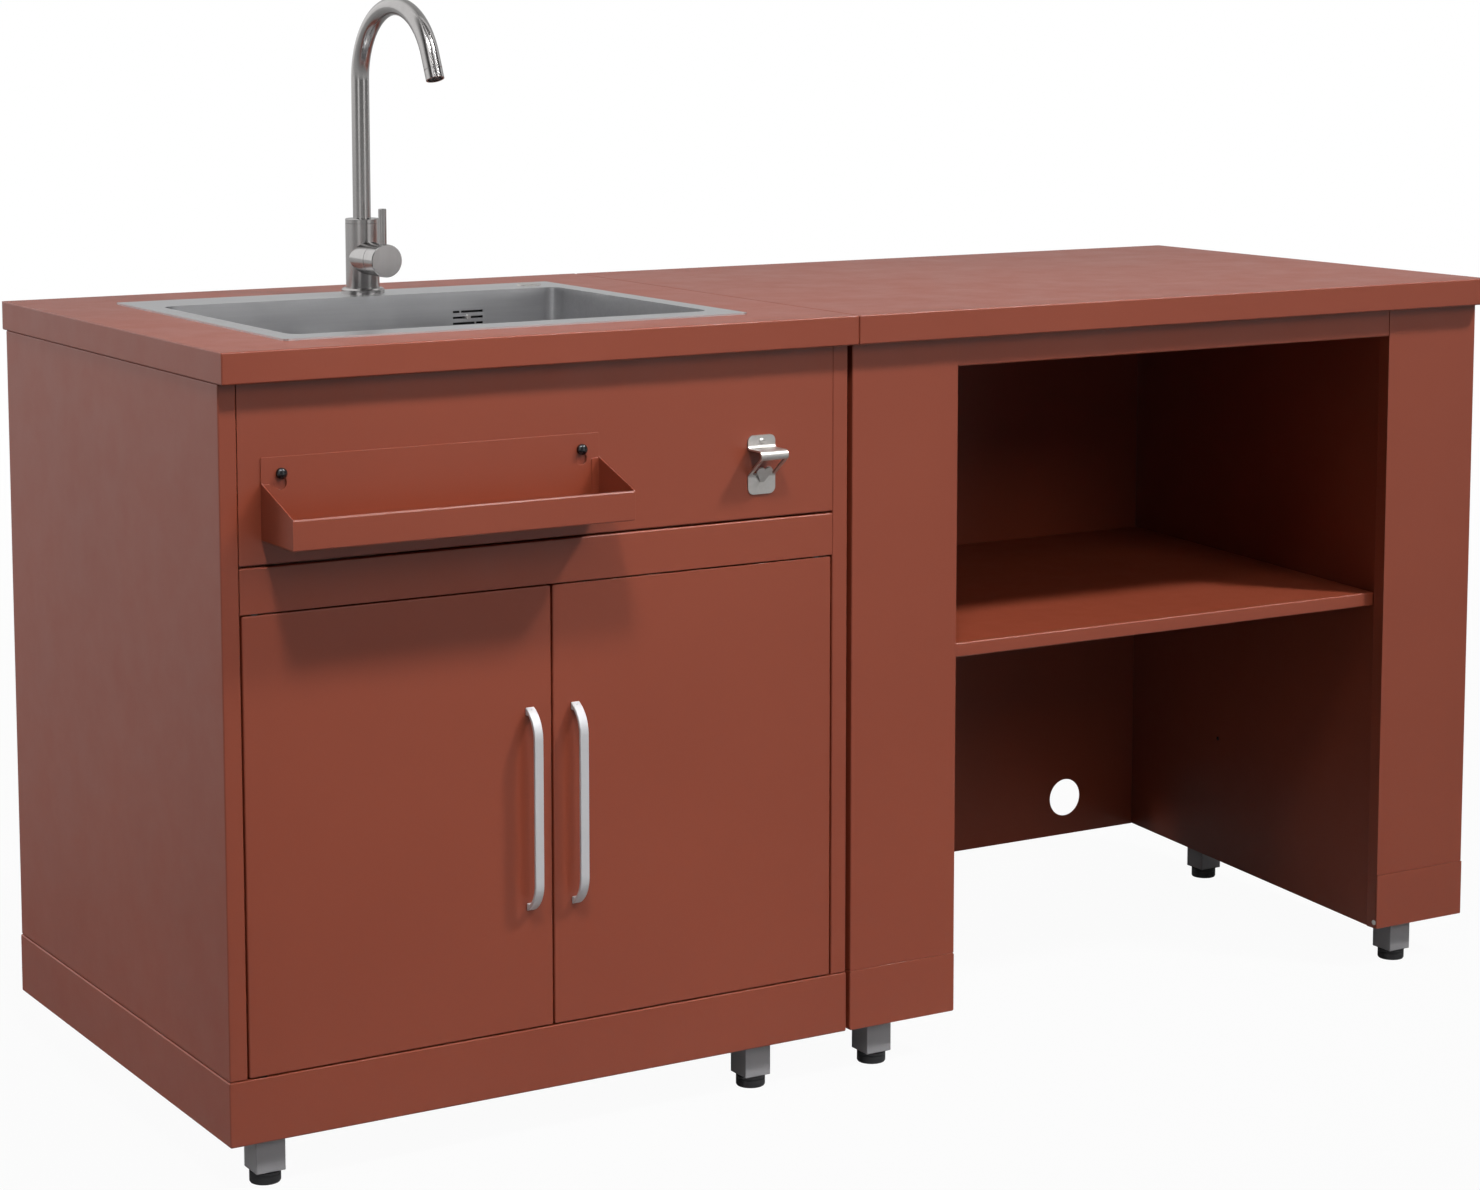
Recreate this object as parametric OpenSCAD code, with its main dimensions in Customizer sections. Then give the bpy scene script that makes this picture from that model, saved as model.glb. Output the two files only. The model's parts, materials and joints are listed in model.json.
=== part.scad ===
// Outdoor kitchen: a sink cabinet with a tap, and an open table module beside it.
// Lengths are millimetres. X runs to the right, Y to the back, Z up from the ground.
// The origin is on the ground, under the middle of the whole assembly.

/* [Overall] */
// Height of the worktop above the ground
top_h = 925; // [880:5:980]
// Depth of both worktops
top_d = 700; // [670:5:760]
// Width of the sink module's worktop
sink_top_w = 800; // [760:10:900]
// Width of the table module's worktop
table_top_w = 1000; // [900:10:1200]
// Gap between the two worktops
module_gap = 0.6; // [0.4:0.1:0.8]

/* [Worktop] */
// Height of the folded worktop edge
top_edge = 35; // [25:1:50]
// Width of the flange folded in under the worktop
top_flange = 34; // [28:1:50]
// Worktop overhang at the front
over_front = 20; // [12:1:26]
// Worktop overhang at the back
over_back = 5; // [2:1:15]
// Worktop overhang at each end
over_side = 3; // [2:0.5:8]

/* [Sheet metal] */
// Thickness of the folded steel sheet
sheet = 1.5; // [1:0.1:2]
// Clearance between neighbouring sheets that are screwed together
seam = 0.2; // [0.1:0.05:0.3]
// Width of the small stiffening flanges
flange = 20; // [14:1:26]

/* [Base] */
// Height of the underside of the base skirt above the ground
skirt_z = 55; // [45:1:70]
// Height of the base skirt
skirt_h = 73; // [60:1:90]
// How far the skirt stands out past the panels above it
skirt_out = 0.8; // [0:0.1:1.5]
// Width of the shelf folded in at the top of the skirt's front
skirt_shelf = 30; // [26:1:40]
// Width of the lip folded in at the bottom of the skirt
skirt_lip = 12; // [8:1:20]

/* [Cabinet front] */
// Width of the stile on each side of the doors
stile_w = 21; // [18:1:40]
// Depth of the stile's inner return
stile_return = 18; // [12:1:25]
// Height of the doors
door_h = 508; // [440:1:520]
// Thickness of the folded door pan
door_t = 20; // [16:1:22]
// Gap all round each door
door_gap = 2; // [1.8:0.1:3]
// Width of the lip folded in at the back of the door pan
door_lip = 12; // [8:1:20]
// Height of the rail above the doors
rail_h = 50; // [35:1:60]
// Depth of the rail's flanges
rail_d = 30; // [26:1:40]
// Height of the shadow gap between rail and fascia
fascia_gap = 2; // [1:0.5:4]

/* [Hinges] */
// Distance of the hinge pin from the door's outer edge
pivot_in = 17; // [15:1:25]
// Distance of the hinge pin behind the door's face
pivot_back = 7.5; // [7.4:0.1:8]
// Radius of the hinge pin
pin_r = 4; // [3:0.5:5]
// Radial clearance of a pin that turns in its bush
turn_fit = 0.05; // [0.03:0.01:0.1]
// Wall of the hinge bush
bush_wall = 1.4; // [1:0.1:1.4]
// Length of the bush below its collar
bush_l = 9; // [6:1:14]
// Thickness of the bush's collar
bush_collar = 1; // [0.8:0.1:1.2]

/* [Door catches] */
// Width of a magnetic catch
catch_w = 40; // [25:1:60]
// Height of a magnetic catch
catch_h = 14; // [10:1:20]
// Distance of the catch from the middle of the cabinet
catch_in = 18; // [10:1:60]

/* [Handles] */
// Overall height of the bow handle
handle_h = 235; // [160:1:300]
// Width of the handle strip
handle_w = 11; // [8:0.5:16]
// Thickness of the handle strip
handle_t = 4; // [3:0.5:6]
// How far the handle stands out from the door
handle_out = 23; // [18:1:32]
// Outer radius of the bends at the handle's ends
handle_r = 38; // [26:1:60]
// Distance of the handle from the gap between the doors
handle_x = 29; // [16:1:60]
// Height of the handle's middle above the ground
handle_z = 384.5; // [300:0.5:480]
// Radius of the handle's screws
handle_screw_r = 2; // [1.5:0.5:2.5]

/* [Rack] */
// Width of the condiment rack
rack_w = 411; // [300:1:500]
// Distance of the rack's left end from the left end of the worktop
rack_x = 50; // [30:1:120]
// How far the rack stands out
rack_out = 85; // [50:1:110]
// Height of the rack's underside above the ground
rack_z = 718; // [705:1:730]
// Height of the rack's back plate
rack_h = 90; // [70:1:110]
// Height of the rack's front lip
rack_lip = 34; // [20:1:45]
// Height of the cheeks where they meet the back plate
rack_cheek = 63; // [46:1:66]
// Distance of each stud from the end of the back plate
stud_in = 23; // [16:1:60]
// Distance of the studs below the top of the back plate
stud_down = 18; // [16:1:19]
// Radius of the stud's head
stud_head_r = 6; // [5:0.5:7]
// Radius of the stud's neck
stud_neck_r = 3; // [2:0.5:3.5]
// How far the rack is lifted to come off its studs
rack_lift = 11; // [10.5:0.5:13]

/* [Bottle opener] */
// Width of the opener's strip
opener_w = 37; // [30:1:50]
// Thickness of the opener's strip
opener_t = 2; // [1.5:0.1:2.5]
// Distance of the opener's middle from the left end of the worktop
opener_x = 676.5; // [600:0.5:700]
// Height of the opener's top edge above the ground
opener_z = 790; // [780:1:800]
// Height of the opener's top plate
opener_top = 15; // [13:1:18]
// How far the ledge stands out
opener_out = 32; // [26:1:38]
// Outer radius of the roll at the front of the ledge
opener_roll = 6; // [5:0.5:8]
// Inner radius of the opener's two hollow bends
opener_bend = 4; // [3:0.5:4.5]
// Slope of the web below the ledge, in degrees
opener_slope = 38; // [34:1:42]
// Height of the opener's bottom plate
opener_bottom = 24; // [20:1:28]
// Width of the window in the web
opener_window = 28; // [24:0.5:29]
// Length of the two-lobed tooth
tooth_l = 20; // [18:0.5:22]
// Radius of each lobe of the tooth
tooth_r = 5.5; // [5:0.25:6]

/* [Sink] */
// Width of the sink over its rim
rim_w = 590; // [540:1:640]
// Depth of the sink over its rim
rim_d = 510; // [460:1:520]
// Distance of the rim from the worktop's front edge
rim_y = 78; // [60:1:100]
// Height of the raised rim above the worktop
rim_up = 2; // [1.6:0.1:3]
// Thickness of the sink's sheet
bowl_t = 1.2; // [0.8:0.1:1.5]
// Width of the deck behind the bowl
deck_d = 80; // [70:1:95]
// Distance of the cap on the spare hole from the sink's middle
cap_x = 250; // [200:5:255]
// Width of the rim in front of the bowl
rim_front = 42; // [25:1:50]
// Width of the rim at each end of the bowl
rim_side = 27; // [20:1:45]
// Depth of the bowl
bowl_h = 200; // [150:1:230]
// Radius of the bowl's upright corners
bowl_r = 18; // [14:1:30]
// Radius between the bowl's walls and its bottom
bowl_floor_r = 12; // [6:1:12]
// How far the cut-out in the worktop lies inside the rim
cutout_in = 12; // [8:1:16]
// Distance of the overflow from the sink's middle
overflow_x = 142; // [80:1:200]
// Depth of the overflow's middle below the rim
overflow_z = 33; // [26:1:60]
// Width of the rows of overflow slots
slot_w = 42; // [30:1:56]
// Height of an overflow slot
slot_h = 2.8; // [2:0.1:4]
// Distance between the rows of slots
slot_pitch = 7.4; // [6:0.1:9]

/* [Waste] */
// Radius of the waste hole in the bowl's bottom
waste_r = 45; // [40:1:50]
// Distance of the waste hole behind the bowl's middle
waste_back = 15; // [0:1:60]
// Depth of the strainer cup
cup_h = 54; // [40:1:60]
// Radius of the waste pipe
pipe_r = 20; // [16:1:24]
// Radius of the trap's bottle
bottle_r = 38; // [30:1:45]
// Height of the trap's bottle
bottle_h = 85; // [70:5:110]
// Depth of the trap's outlet below the strainer cup
trap_drop = 110; // [90:5:130]

/* [Tap] */
// Distance of the tap from the sink's middle
tap_x = 18; // [-60:1:60]
// Distance of the tap's axis from the back of the rim
tap_back = 35; // [32:1:38]
// Radius of the tap's body
body_r = 21; // [19:0.5:24]
// Height of the tap's body above the deck
body_h = 94; // [88:1:120]
// Radius of the tap's base flange
tap_base_r = 27; // [25:0.5:30]
// Height of the tap's base flange
tap_base_h = 7; // [4:0.5:10]
// Height of the knob's axis above the deck
knob_z = 45; // [36:1:50]
// Radius of the knob and its barrel
knob_r = 20.5; // [18:0.5:20.5]
// Length of the knob
knob_l = 26; // [22:1:32]
// Distance of the knob's face from the tap's axis
knob_out = 72; // [64:1:80]
// Radius of the lever pin
lever_r = 5; // [4:0.5:6]
// Height of the lever pin above the knob's axis
lever_h = 64; // [50:1:80]
// Radius of the spout's tube
spout_r = 11.2; // [10:0.1:13]
// Wall of the spout's tube
spout_wall = 1.5; // [1:0.1:2]
// Height of the spout's straight riser above the deck
riser_h = 266; // [220:1:320]
// Radius of the spout's bend
spout_bend = 92; // [70:1:110]
// Angle of the spout's bend
spout_angle = 158; // [140:1:170]
// Length of the straight end of the spout with its aerator
aerator_l = 32; // [24:1:40]
// Turn of the spout to the right of straight ahead
spout_turn = 3.5; // [-10:0.5:10]

/* [Table module] */
// Width of the pilasters
pilaster_w = 152; // [130:1:180]
// Depth of the pilasters' inner returns
pilaster_return = 19; // [14:1:30]
// Height of the apron under the worktop
apron_h = 36; // [25:1:60]
// How far the apron lies behind the pilasters' faces
apron_back = 0.8; // [0:0.1:3]
// Height of the shelf's top above the ground
shelf_z = 510; // [400:1:600]
// Height of the shelf's folded front
shelf_t = 18; // [15:1:30]
// Distance of the back panel from the worktop's front edge
panel_y = 645; // [560:1:660]
// Angle by which the inner walls spread towards the back
wall_spread = 7; // [0:0.5:8]
// Radius of the cable hole
cable_r = 27.5; // [20:0.5:35]
// Distance of the cable hole from the right pedestal
cable_x = 51; // [45:1:200]
// Height of the cable hole above the ground
cable_z = 111; // [105:1:180]

/* [Module bolts] */
// Distance of the bolts from the front and the back of the cabinet
bolt_in = 130; // [110:5:200]
// Height of the lower bolts above the base
bolt_up = 172; // [120:2:240]
// Distance of the upper bolts below the cabinet's top
bolt_down = 70; // [60:2:110]

/* [Feet] */
// Side of the square leg tube
leg_w = 35; // [30:1:40]
// Wall of the leg tube
leg_wall = 2; // [1.5:0.5:3]
// Height of the leg tube's lower end above the ground
leg_z = 14; // [13:1:24]
// Distance of the front legs from the worktop's front edge
leg_front = 35; // [28:1:60]
// Distance of the left legs from the module's left end
leg_left = 38; // [30:1:60]
// Distance of the sink module's rear legs from the worktop's back edge
sink_leg_rear = 65; // [40:1:90]
// Distance of the sink module's rear left leg from its left end
sink_rear_left = 70; // [60:1:100]
// Distance of the sink module's right legs from its right end
sink_leg_right = 100; // [60:1:120]
// Distance of the table's rear legs from the worktop's back edge
table_leg_rear = 170; // [120:5:200]
// Distance of the table's front right leg from its right end
table_leg_right = 80; // [60:1:100]
// Distance of the table's rear right leg from its right end
table_rear_right = 30; // [25:1:40]
// Radius of a foot's pad
pad_r = 17.5; // [14:0.5:18]
// Height of a foot's pad
pad_h = 13; // [9:1:13]
// Radius of a foot's threaded stem
stem_r = 5; // [4:0.5:6]
// Length of a foot's threaded stem
stem_l = 50; // [40:1:55]

/* [Hidden] */
$fn = 64;

// Clearance that only keeps two faces from touching
hair = 0.3;
// Overshoot of a cutting shape past the face that it cuts
cut = 1;

// The whole assembly runs from the rack's lip to the worktops' back edge
total_w = sink_top_w + module_gap + table_top_w;
rack_front = over_front - rack_out;
middle_y = (rack_front + top_d) / 2;

// Levels
case_top = top_h - top_edge - hair;
skirt_top = skirt_z + skirt_h;
floor_top = skirt_top - sheet;
floor_under = floor_top - sheet;
door_z = skirt_top + door_gap;
rail_z = door_z + door_h + door_gap;
fascia_z = rail_z + rail_h + fascia_gap;

// Cabinet outline
case_back = top_d - over_back;
case_left = over_side;
case_right = sink_top_w - over_side;
open_left = case_left + stile_w;
open_right = case_right - stile_w;
open_mid = (open_left + open_right) / 2;
door_w = (open_right - open_left - 3 * door_gap) / 2;
door_left_x = open_left + door_gap;
pivot_y = over_front + pivot_back;

// Sink and tap
sink_x = (sink_top_w - rim_w) / 2;
deck_z = top_h + rim_up;
bowl_w = rim_w - 2 * rim_side;
bowl_d = rim_d - rim_front - deck_d;
bowl_x = sink_x + rim_side;
bowl_y = rim_y + rim_front;
bowl_z = deck_z - bowl_h;
waste_x = sink_top_w / 2;
waste_y = bowl_y + bowl_d / 2 + waste_back;
over_x = sink_top_w / 2 + overflow_x;
over_z = deck_z - overflow_z;
tap_at = [sink_top_w / 2 + tap_x, rim_y + rim_d - tap_back, deck_z];
cap_at = [sink_top_w / 2 + cap_x, rim_y + rim_d - tap_back - 5, deck_z];
cap_r = 15.5;
cap_hole_r = 11;
tap_hole_r = 16;
shank_r = 15;

// Table module
table_x = sink_top_w + module_gap;
table_mid = table_x + table_top_w / 2;
table_left = table_x + over_side;
bay_left = table_left + pilaster_w;
bay_right = 2 * table_mid - bay_left;
wall_x = bay_left - 2 * sheet - seam;
wall_face = wall_x + sheet;
wall_bend = over_front + pilaster_return + hair;

// Bolts that join the two modules, in from the cabinet's edges
bolt_r = 4;
bolt_spots = [
    for (y = [over_front + bolt_in, case_back - bolt_in])
        for (z = [skirt_top + bolt_up, case_top - bolt_down])
            [y, z]
];

// Puts a shape drawn from the left front corner of the worktops into the frame of the part
module place() {
    translate([-total_w / 2, -middle_y, 0]) children();
}

// Mirrors a shape of the table module to its other end
module other_end() {
    translate([2 * table_mid, 0, 0]) mirror([1, 0, 0]) children();
}

// Mirrors a shape of the sink cabinet's front to its other side
module other_side() {
    translate([2 * open_mid, 0, 0]) mirror([1, 0, 0]) children();
}

// A box from one corner to the opposite one
module block(a, b) {
    translate(a) cube(b - a);
}

// Extrudes a side view to a given width about X = 0, its X pointing out to the front
module from_side(w) {
    translate([w / 2, 0, 0]) rotate([90, 0, -90]) linear_extrude(w) children();
}

// A flat rectangle with round corners, from its lower left corner
module round_rect(w, d, r) {
    translate([r, 0]) square([w - 2 * r, d]);
    translate([0, r]) square([w, d - 2 * r]);
    for (x = [r, w - r])
        for (y = [r, d - r])
            translate([x, y]) circle(r);
}

// A solid with round upright corners and a rounded lower edge, from its lower left corner
module tub(w, d, h, rc, rb) {
    translate([0, 0, rb]) linear_extrude(h - rb) round_rect(w, d, rc);
    linear_extrude(2 * rb) translate([rb, rb]) round_rect(w - 2 * rb, d - 2 * rb, rc - rb);
    translate([rc, 0, 0]) rotate([90, 0, 90]) linear_extrude(w - 2 * rc) tub_band(d, rb);
    translate([0, d - rc, 0]) rotate([90, 0, 0]) linear_extrude(d - 2 * rc) tub_band(w, rb);
    for (x = [rc, w - rc])
        for (y = [rc, d - rc])
            translate([x, y, 0]) rotate_extrude() tub_corner(rc, rb);
}

// Section of the rounded lower edge between two opposite walls
module tub_band(span, rb) {
    translate([rb, 0]) square([span - 2 * rb, 2 * rb]);
    for (s = [rb, span - rb])
        translate([s, rb]) circle(rb);
}

// Section of the rounded lower edge round an upright corner
module tub_corner(rc, rb) {
    square([rc - rb, 2 * rb]);
    intersection() {
        translate([rc - rb, rb]) circle(rb);
        square([rc, 2 * rb]);
    }
}

// A folded worktop: top sheet, four edges and the flanges under them
module worktop(x, w) {
    difference() {
        block([x, 0, top_h - top_edge], [x + w, top_d, top_h]);
        block([x + sheet, sheet, top_h - top_edge + sheet], [x + w - sheet, top_d - sheet, top_h - sheet]);
        block([x + top_flange, top_flange, top_h - top_edge - cut],
              [x + w - top_flange, top_d - top_flange, top_h - top_edge + 2 * sheet]);
        children();
    }
}

module sink_worktop() {
    hole_w = rim_w - 2 * cutout_in;
    hole_d = rim_d - 2 * cutout_in;
    color("#8b4635") place() worktop(0, sink_top_w)
        translate([sink_x + cutout_in, rim_y + cutout_in, top_h - 2 * sheet])
            linear_extrude(3 * sheet) round_rect(hole_w, hole_d, 8);
}

// Side panel of the sink cabinet with the stile folded round at its front
module sink_side() {
    z0 = skirt_top + hair;
    front = over_front;
    difference() {
        union() {
            block([case_left, front, z0], [case_left + sheet, case_back, case_top]);
            block([case_left, front, z0], [open_left, front + sheet, case_top]);
            block([open_left - sheet, front, z0], [open_left, front + stile_return, case_top]);
            block([case_left, case_back - sheet, z0], [case_left + flange, case_back, case_top]);
            block([case_left, front, z0], [case_left + flange, case_back, z0 + sheet]);
            block([case_left, front, case_top - sheet], [case_left + flange, case_back, case_top]);
        }
        children();
    }
}

// Round holes for the bolts that join the modules, along X between two planes
module bolt_holes(x0, x1) {
    for (s = bolt_spots)
        translate([x0, s[0], s[1]]) rotate([0, 90, 0]) cylinder(h = x1 - x0, r = bolt_r + seam);
}

module sink_side_left() {
    color("#8b4635") place() sink_side();
}

module sink_side_right() {
    color("#8b4635") place() difference() {
        other_side() sink_side();
        bolt_holes(case_right - 2 * sheet, case_right + cut);
    }
}

module sink_back_panel() {
    y1 = case_back - sheet - seam;
    hole_w = 170;
    hole_h = 110;
    color("#8b4635") place() difference() {
        block([case_left + sheet + seam, y1 - sheet, skirt_top + sheet + 2 * hair],
              [case_right - sheet - seam, y1, case_top - sheet - hair]);
        translate([waste_x - hole_w / 2, y1 + cut, trap_out_z() - hole_h / 2])
            rotate([90, 0, 0]) linear_extrude(sheet + 2 * cut) round_rect(hole_w, hole_h, 15);
    }
}

module sink_floor_panel() {
    color("#7d3f30") place() difference() {
        block([case_left + sheet + seam, over_front + sheet + seam, floor_under],
              [case_right - sheet - seam, case_back - seam, floor_top]);
        bush_holes(floor_under - cut, floor_top + cut);
    }
}

// Holes of the two lower or upper hinge bushes, between two levels
module bush_holes(z0, z1) {
    for (x = [door_left_x + pivot_in, 2 * open_mid - door_left_x - pivot_in])
        translate([x, pivot_y, z0]) cylinder(h = z1 - z0, r = pin_r + turn_fit + bush_wall + seam);
}

module sink_fascia() {
    x0 = open_left + seam;
    x1 = open_right - seam;
    color("#8b4635") place() difference() {
        union() {
            block([x0, over_front, fascia_z], [x1, over_front + sheet, case_top]);
            block([x0, over_front, fascia_z], [x1, over_front + stile_return, fascia_z + sheet]);
            block([x0, over_front, case_top - sheet], [x1, over_front + stile_return, case_top]);
        }
        for (x = stud_xs())
            translate([x, over_front - cut, stud_z()]) rotate([-90, 0, 0])
                cylinder(h = sheet + 2 * cut, r = stud_neck_r + seam);
        translate([opener_x, over_front - cut, opener_screw_z()]) rotate([-90, 0, 0])
            cylinder(h = sheet + 2 * cut, r = opener_screw_r + seam);
    }
}

module sink_mid_rail() {
    x0 = open_left + seam;
    x1 = open_right - seam;
    y0 = over_front;
    color("#8b4635") place() difference() {
        union() {
            block([x0, y0, rail_z], [x1, y0 + sheet, rail_z + rail_h]);
            block([x0, y0, rail_z], [x1, y0 + rail_d, rail_z + sheet]);
            block([x0, y0, rail_z + rail_h - sheet], [x1, y0 + rail_d, rail_z + rail_h]);
        }
        bush_holes(rail_z - cut, rail_z + sheet + cut);
    }
}

// Outline seen from above of a band that runs along the left side, the front and the right side
module skirt_outline(inner_side, inner_front) {
    x0 = case_left - skirt_out;
    y0 = over_front - skirt_out;
    w = case_right + skirt_out - x0;
    difference() {
        translate([x0, y0]) square([w, case_back - y0]);
        translate([x0 + inner_side, y0 + inner_front]) square([w - 2 * inner_side, case_back]);
    }
}

module sink_plinth() {
    color("#8b4635") place() difference() {
        union() {
            translate([0, 0, skirt_z]) linear_extrude(skirt_h) skirt_outline(sheet, sheet);
            translate([0, 0, skirt_z]) linear_extrude(sheet) skirt_outline(skirt_lip, skirt_lip);
            translate([0, 0, floor_top]) linear_extrude(sheet) skirt_outline(flange, skirt_shelf);
        }
        bush_holes(floor_top - cut, skirt_top + cut);
    }
}

// A square leg tube with a threaded end plate, from the ground level of its own foot
module leg(top_z) {
    plate = 3;
    difference() {
        translate([-leg_w / 2, -leg_w / 2, leg_z]) cube([leg_w, leg_w, top_z - leg_z]);
        translate([-leg_w / 2 + leg_wall, -leg_w / 2 + leg_wall, leg_z + plate])
            cube([leg_w - 2 * leg_wall, leg_w - 2 * leg_wall, top_z - leg_z]);
        translate([0, 0, leg_z - cut]) cylinder(h = plate + 2 * cut, r = stem_r + turn_fit);
    }
}

// Axes of a module's pair of legs, from its left end, its width and the legs' distances
function leg_pair(x0, w, left, right, y) = [
    [x0 + left + leg_w / 2, y],
    [x0 + w - right - leg_w / 2, y]
];
leg_front_y = leg_front + leg_w / 2;
sink_rear_y = top_d - sink_leg_rear - leg_w / 2;
table_rear_y = top_d - table_leg_rear - leg_w / 2;
sink_legs_at = concat(
    leg_pair(0, sink_top_w, leg_left, sink_leg_right, leg_front_y),
    leg_pair(0, sink_top_w, sink_rear_left, sink_leg_right, sink_rear_y)
);
table_legs_at = concat(
    leg_pair(table_x, table_top_w, leg_left, table_leg_right, leg_front_y),
    leg_pair(table_x, table_top_w, leg_left, table_rear_right, table_rear_y)
);

module sink_legs() {
    color("#8d9092") place() for (s = sink_legs_at) translate(s) leg(floor_under);
}

module table_legs() {
    color("#8d9092") place() for (s = table_legs_at) translate(s) leg(floor_top);
}

// A levelling foot: round pad with a groove, and threaded stem
module foot(spot) {
    edge = 1.5;
    neck = 0.9;
    color("#1d1d1f") place() translate(spot) {
        cylinder(h = edge, r1 = pad_r - edge, r2 = pad_r);
        translate([0, 0, edge]) cylinder(h = pad_h - 4 - edge, r = pad_r);
        cylinder(h = pad_h - 1, r = pad_r - neck);
        translate([0, 0, pad_h - 4 + neck]) cylinder(h = 4 - neck, r = pad_r);
        cylinder(h = pad_h + stem_l, r = stem_r);
    }
}

module sink_foot_front_left() foot(sink_legs_at[0]);
module sink_foot_front_right() foot(sink_legs_at[1]);
module sink_foot_rear_left() foot(sink_legs_at[2]);
module sink_foot_rear_right() foot(sink_legs_at[3]);
module table_foot_front_left() foot(table_legs_at[0]);
module table_foot_front_right() foot(table_legs_at[1]);
module table_foot_rear_left() foot(table_legs_at[2]);
module table_foot_rear_right() foot(table_legs_at[3]);

// Left door pan: face, four edges and the lips behind them
module door() {
    x0 = door_left_x;
    x1 = x0 + door_w;
    y0 = over_front;
    z1 = door_z + door_h;
    difference() {
        block([x0, y0, door_z], [x1, y0 + door_t, z1]);
        block([x0 + sheet, y0 + sheet, door_z + sheet], [x1 - sheet, y0 + door_t - sheet, z1 - sheet]);
        block([x0 + door_lip, y0 + door_t - 2 * sheet, door_z + door_lip],
              [x1 - door_lip, y0 + door_t + cut, z1 - door_lip]);
        translate([x0 + pivot_in, pivot_y, door_z - cut]) cylinder(h = sheet + 2 * cut, r = pin_r + seam);
        translate([x0 + pivot_in, pivot_y, z1 - sheet - cut])
            cylinder(h = sheet + 2 * cut, r = pin_r + seam);
        for (z = handle_feet())
            translate([open_mid - handle_x, y0 - cut, z]) rotate([-90, 0, 0])
                cylinder(h = sheet + 2 * cut, r = handle_screw_r + seam);
    }
}

module door_left() {
    color("#8b4635") place() door();
}

module door_right() {
    color("#8b4635") place() other_side() door();
}

// Heights of the handle's two screws
function handle_rise() = sqrt(handle_r * handle_r - (handle_r - handle_out) * (handle_r - handle_out));
function handle_feet() = [for (s = [-1, 1]) handle_z + s * (handle_h / 2 - foot_h / 2)];
foot_h = 9;
foot_out = 7;
handle_hole = 5;

// Side view of the bow handle, X away from the door and Y up, from its middle
module handle_outline() {
    reach = handle_h / 2 - handle_rise();
    translate([handle_out - handle_t, -reach]) square([handle_t, 2 * reach]);
    for (s = [0, 1]) mirror([0, s]) {
        intersection() {
            translate([handle_out - handle_r, reach]) difference() {
                circle(handle_r);
                circle(handle_r - handle_t);
            }
            translate([0, reach]) square([handle_out, handle_h]);
        }
        intersection() {
            translate([handle_out - handle_r, reach]) circle(handle_r);
            translate([0, handle_h / 2 - foot_h]) square([foot_out, foot_h]);
        }
    }
}

module handle() {
    difference() {
        translate([open_mid - handle_x, over_front, handle_z]) from_side(handle_w) handle_outline();
        for (z = handle_feet())
            translate([open_mid - handle_x, over_front + cut, z]) rotate([90, 0, 0])
                cylinder(h = handle_hole + cut, r = handle_screw_r + turn_fit);
    }
}

module handle_left() {
    color("#c9cccd") place() handle();
}

module handle_right() {
    color("#c9cccd") place() other_side() handle();
}

// The two screws inside the left door that hold its handle
module handle_screws() {
    for (z = handle_feet())
        translate([open_mid - handle_x, over_front + sheet, z]) {
            rotate([90, 0, 0]) cylinder(h = sheet + handle_hole - hair, r = handle_screw_r);
            rotate([-90, 0, 0]) cylinder(h = 2.5, r = 2 * handle_screw_r);
        }
}

module handle_screws_left() {
    color("#9a9d9f") place() handle_screws();
}

module handle_screws_right() {
    color("#9a9d9f") place() other_side() handle_screws();
}

// Upper and lower pivot pins of the left door
module hinge_pins() {
    collar_h = 3;
    reach = sheet + door_gap + bush_l - cut;
    translate([door_left_x + pivot_in, pivot_y, 0]) {
        translate([0, 0, door_z + door_h - sheet]) {
            cylinder(h = reach, r = pin_r);
            translate([0, 0, -collar_h]) cylinder(h = collar_h, r = pin_r + 2);
        }
        translate([0, 0, door_z + sheet]) {
            translate([0, 0, -reach]) cylinder(h = reach, r = pin_r);
            cylinder(h = collar_h, r = pin_r + 2);
        }
    }
}

module hinge_pins_left() {
    color("#9a9d9f") place() hinge_pins();
}

module hinge_pins_right() {
    color("#9a9d9f") place() other_side() hinge_pins();
}

// A hinge bush with its collar at the origin and its sleeve below
module bush() {
    r = pin_r + turn_fit;
    difference() {
        union() {
            cylinder(h = bush_collar, r = r + bush_wall + 1.2);
            translate([0, 0, -bush_l]) cylinder(h = bush_l + bush_collar, r = r + bush_wall);
        }
        translate([0, 0, -bush_l - cut]) cylinder(h = bush_l + bush_collar + 2 * cut, r = r);
    }
}

module hinge_bushes() {
    color("#26262a") place()
        for (x = [door_left_x + pivot_in, 2 * open_mid - door_left_x - pivot_in]) {
            translate([x, pivot_y, skirt_top]) bush();
            translate([x, pivot_y, rail_z]) mirror([0, 0, 1]) bush();
        }
}

module magnet_catches() {
    y0 = over_front + door_t + hair;
    color("#d8d8d6") place()
        for (x = [open_mid - catch_in - catch_w, open_mid + catch_in])
            difference() {
                block([x, y0, rail_z - catch_h], [x + catch_w, over_front + rail_d, rail_z]);
                block([x + 4, y0 - cut, rail_z - catch_h + 3], [x + catch_w - 4, y0 + 2, rail_z - 7]);
            }
}

// Places of the studs that the rack hangs on
function stud_xs() = [rack_x + stud_in, rack_x + rack_w - stud_in];
function stud_z() = rack_z + rack_h - stud_down;

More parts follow.
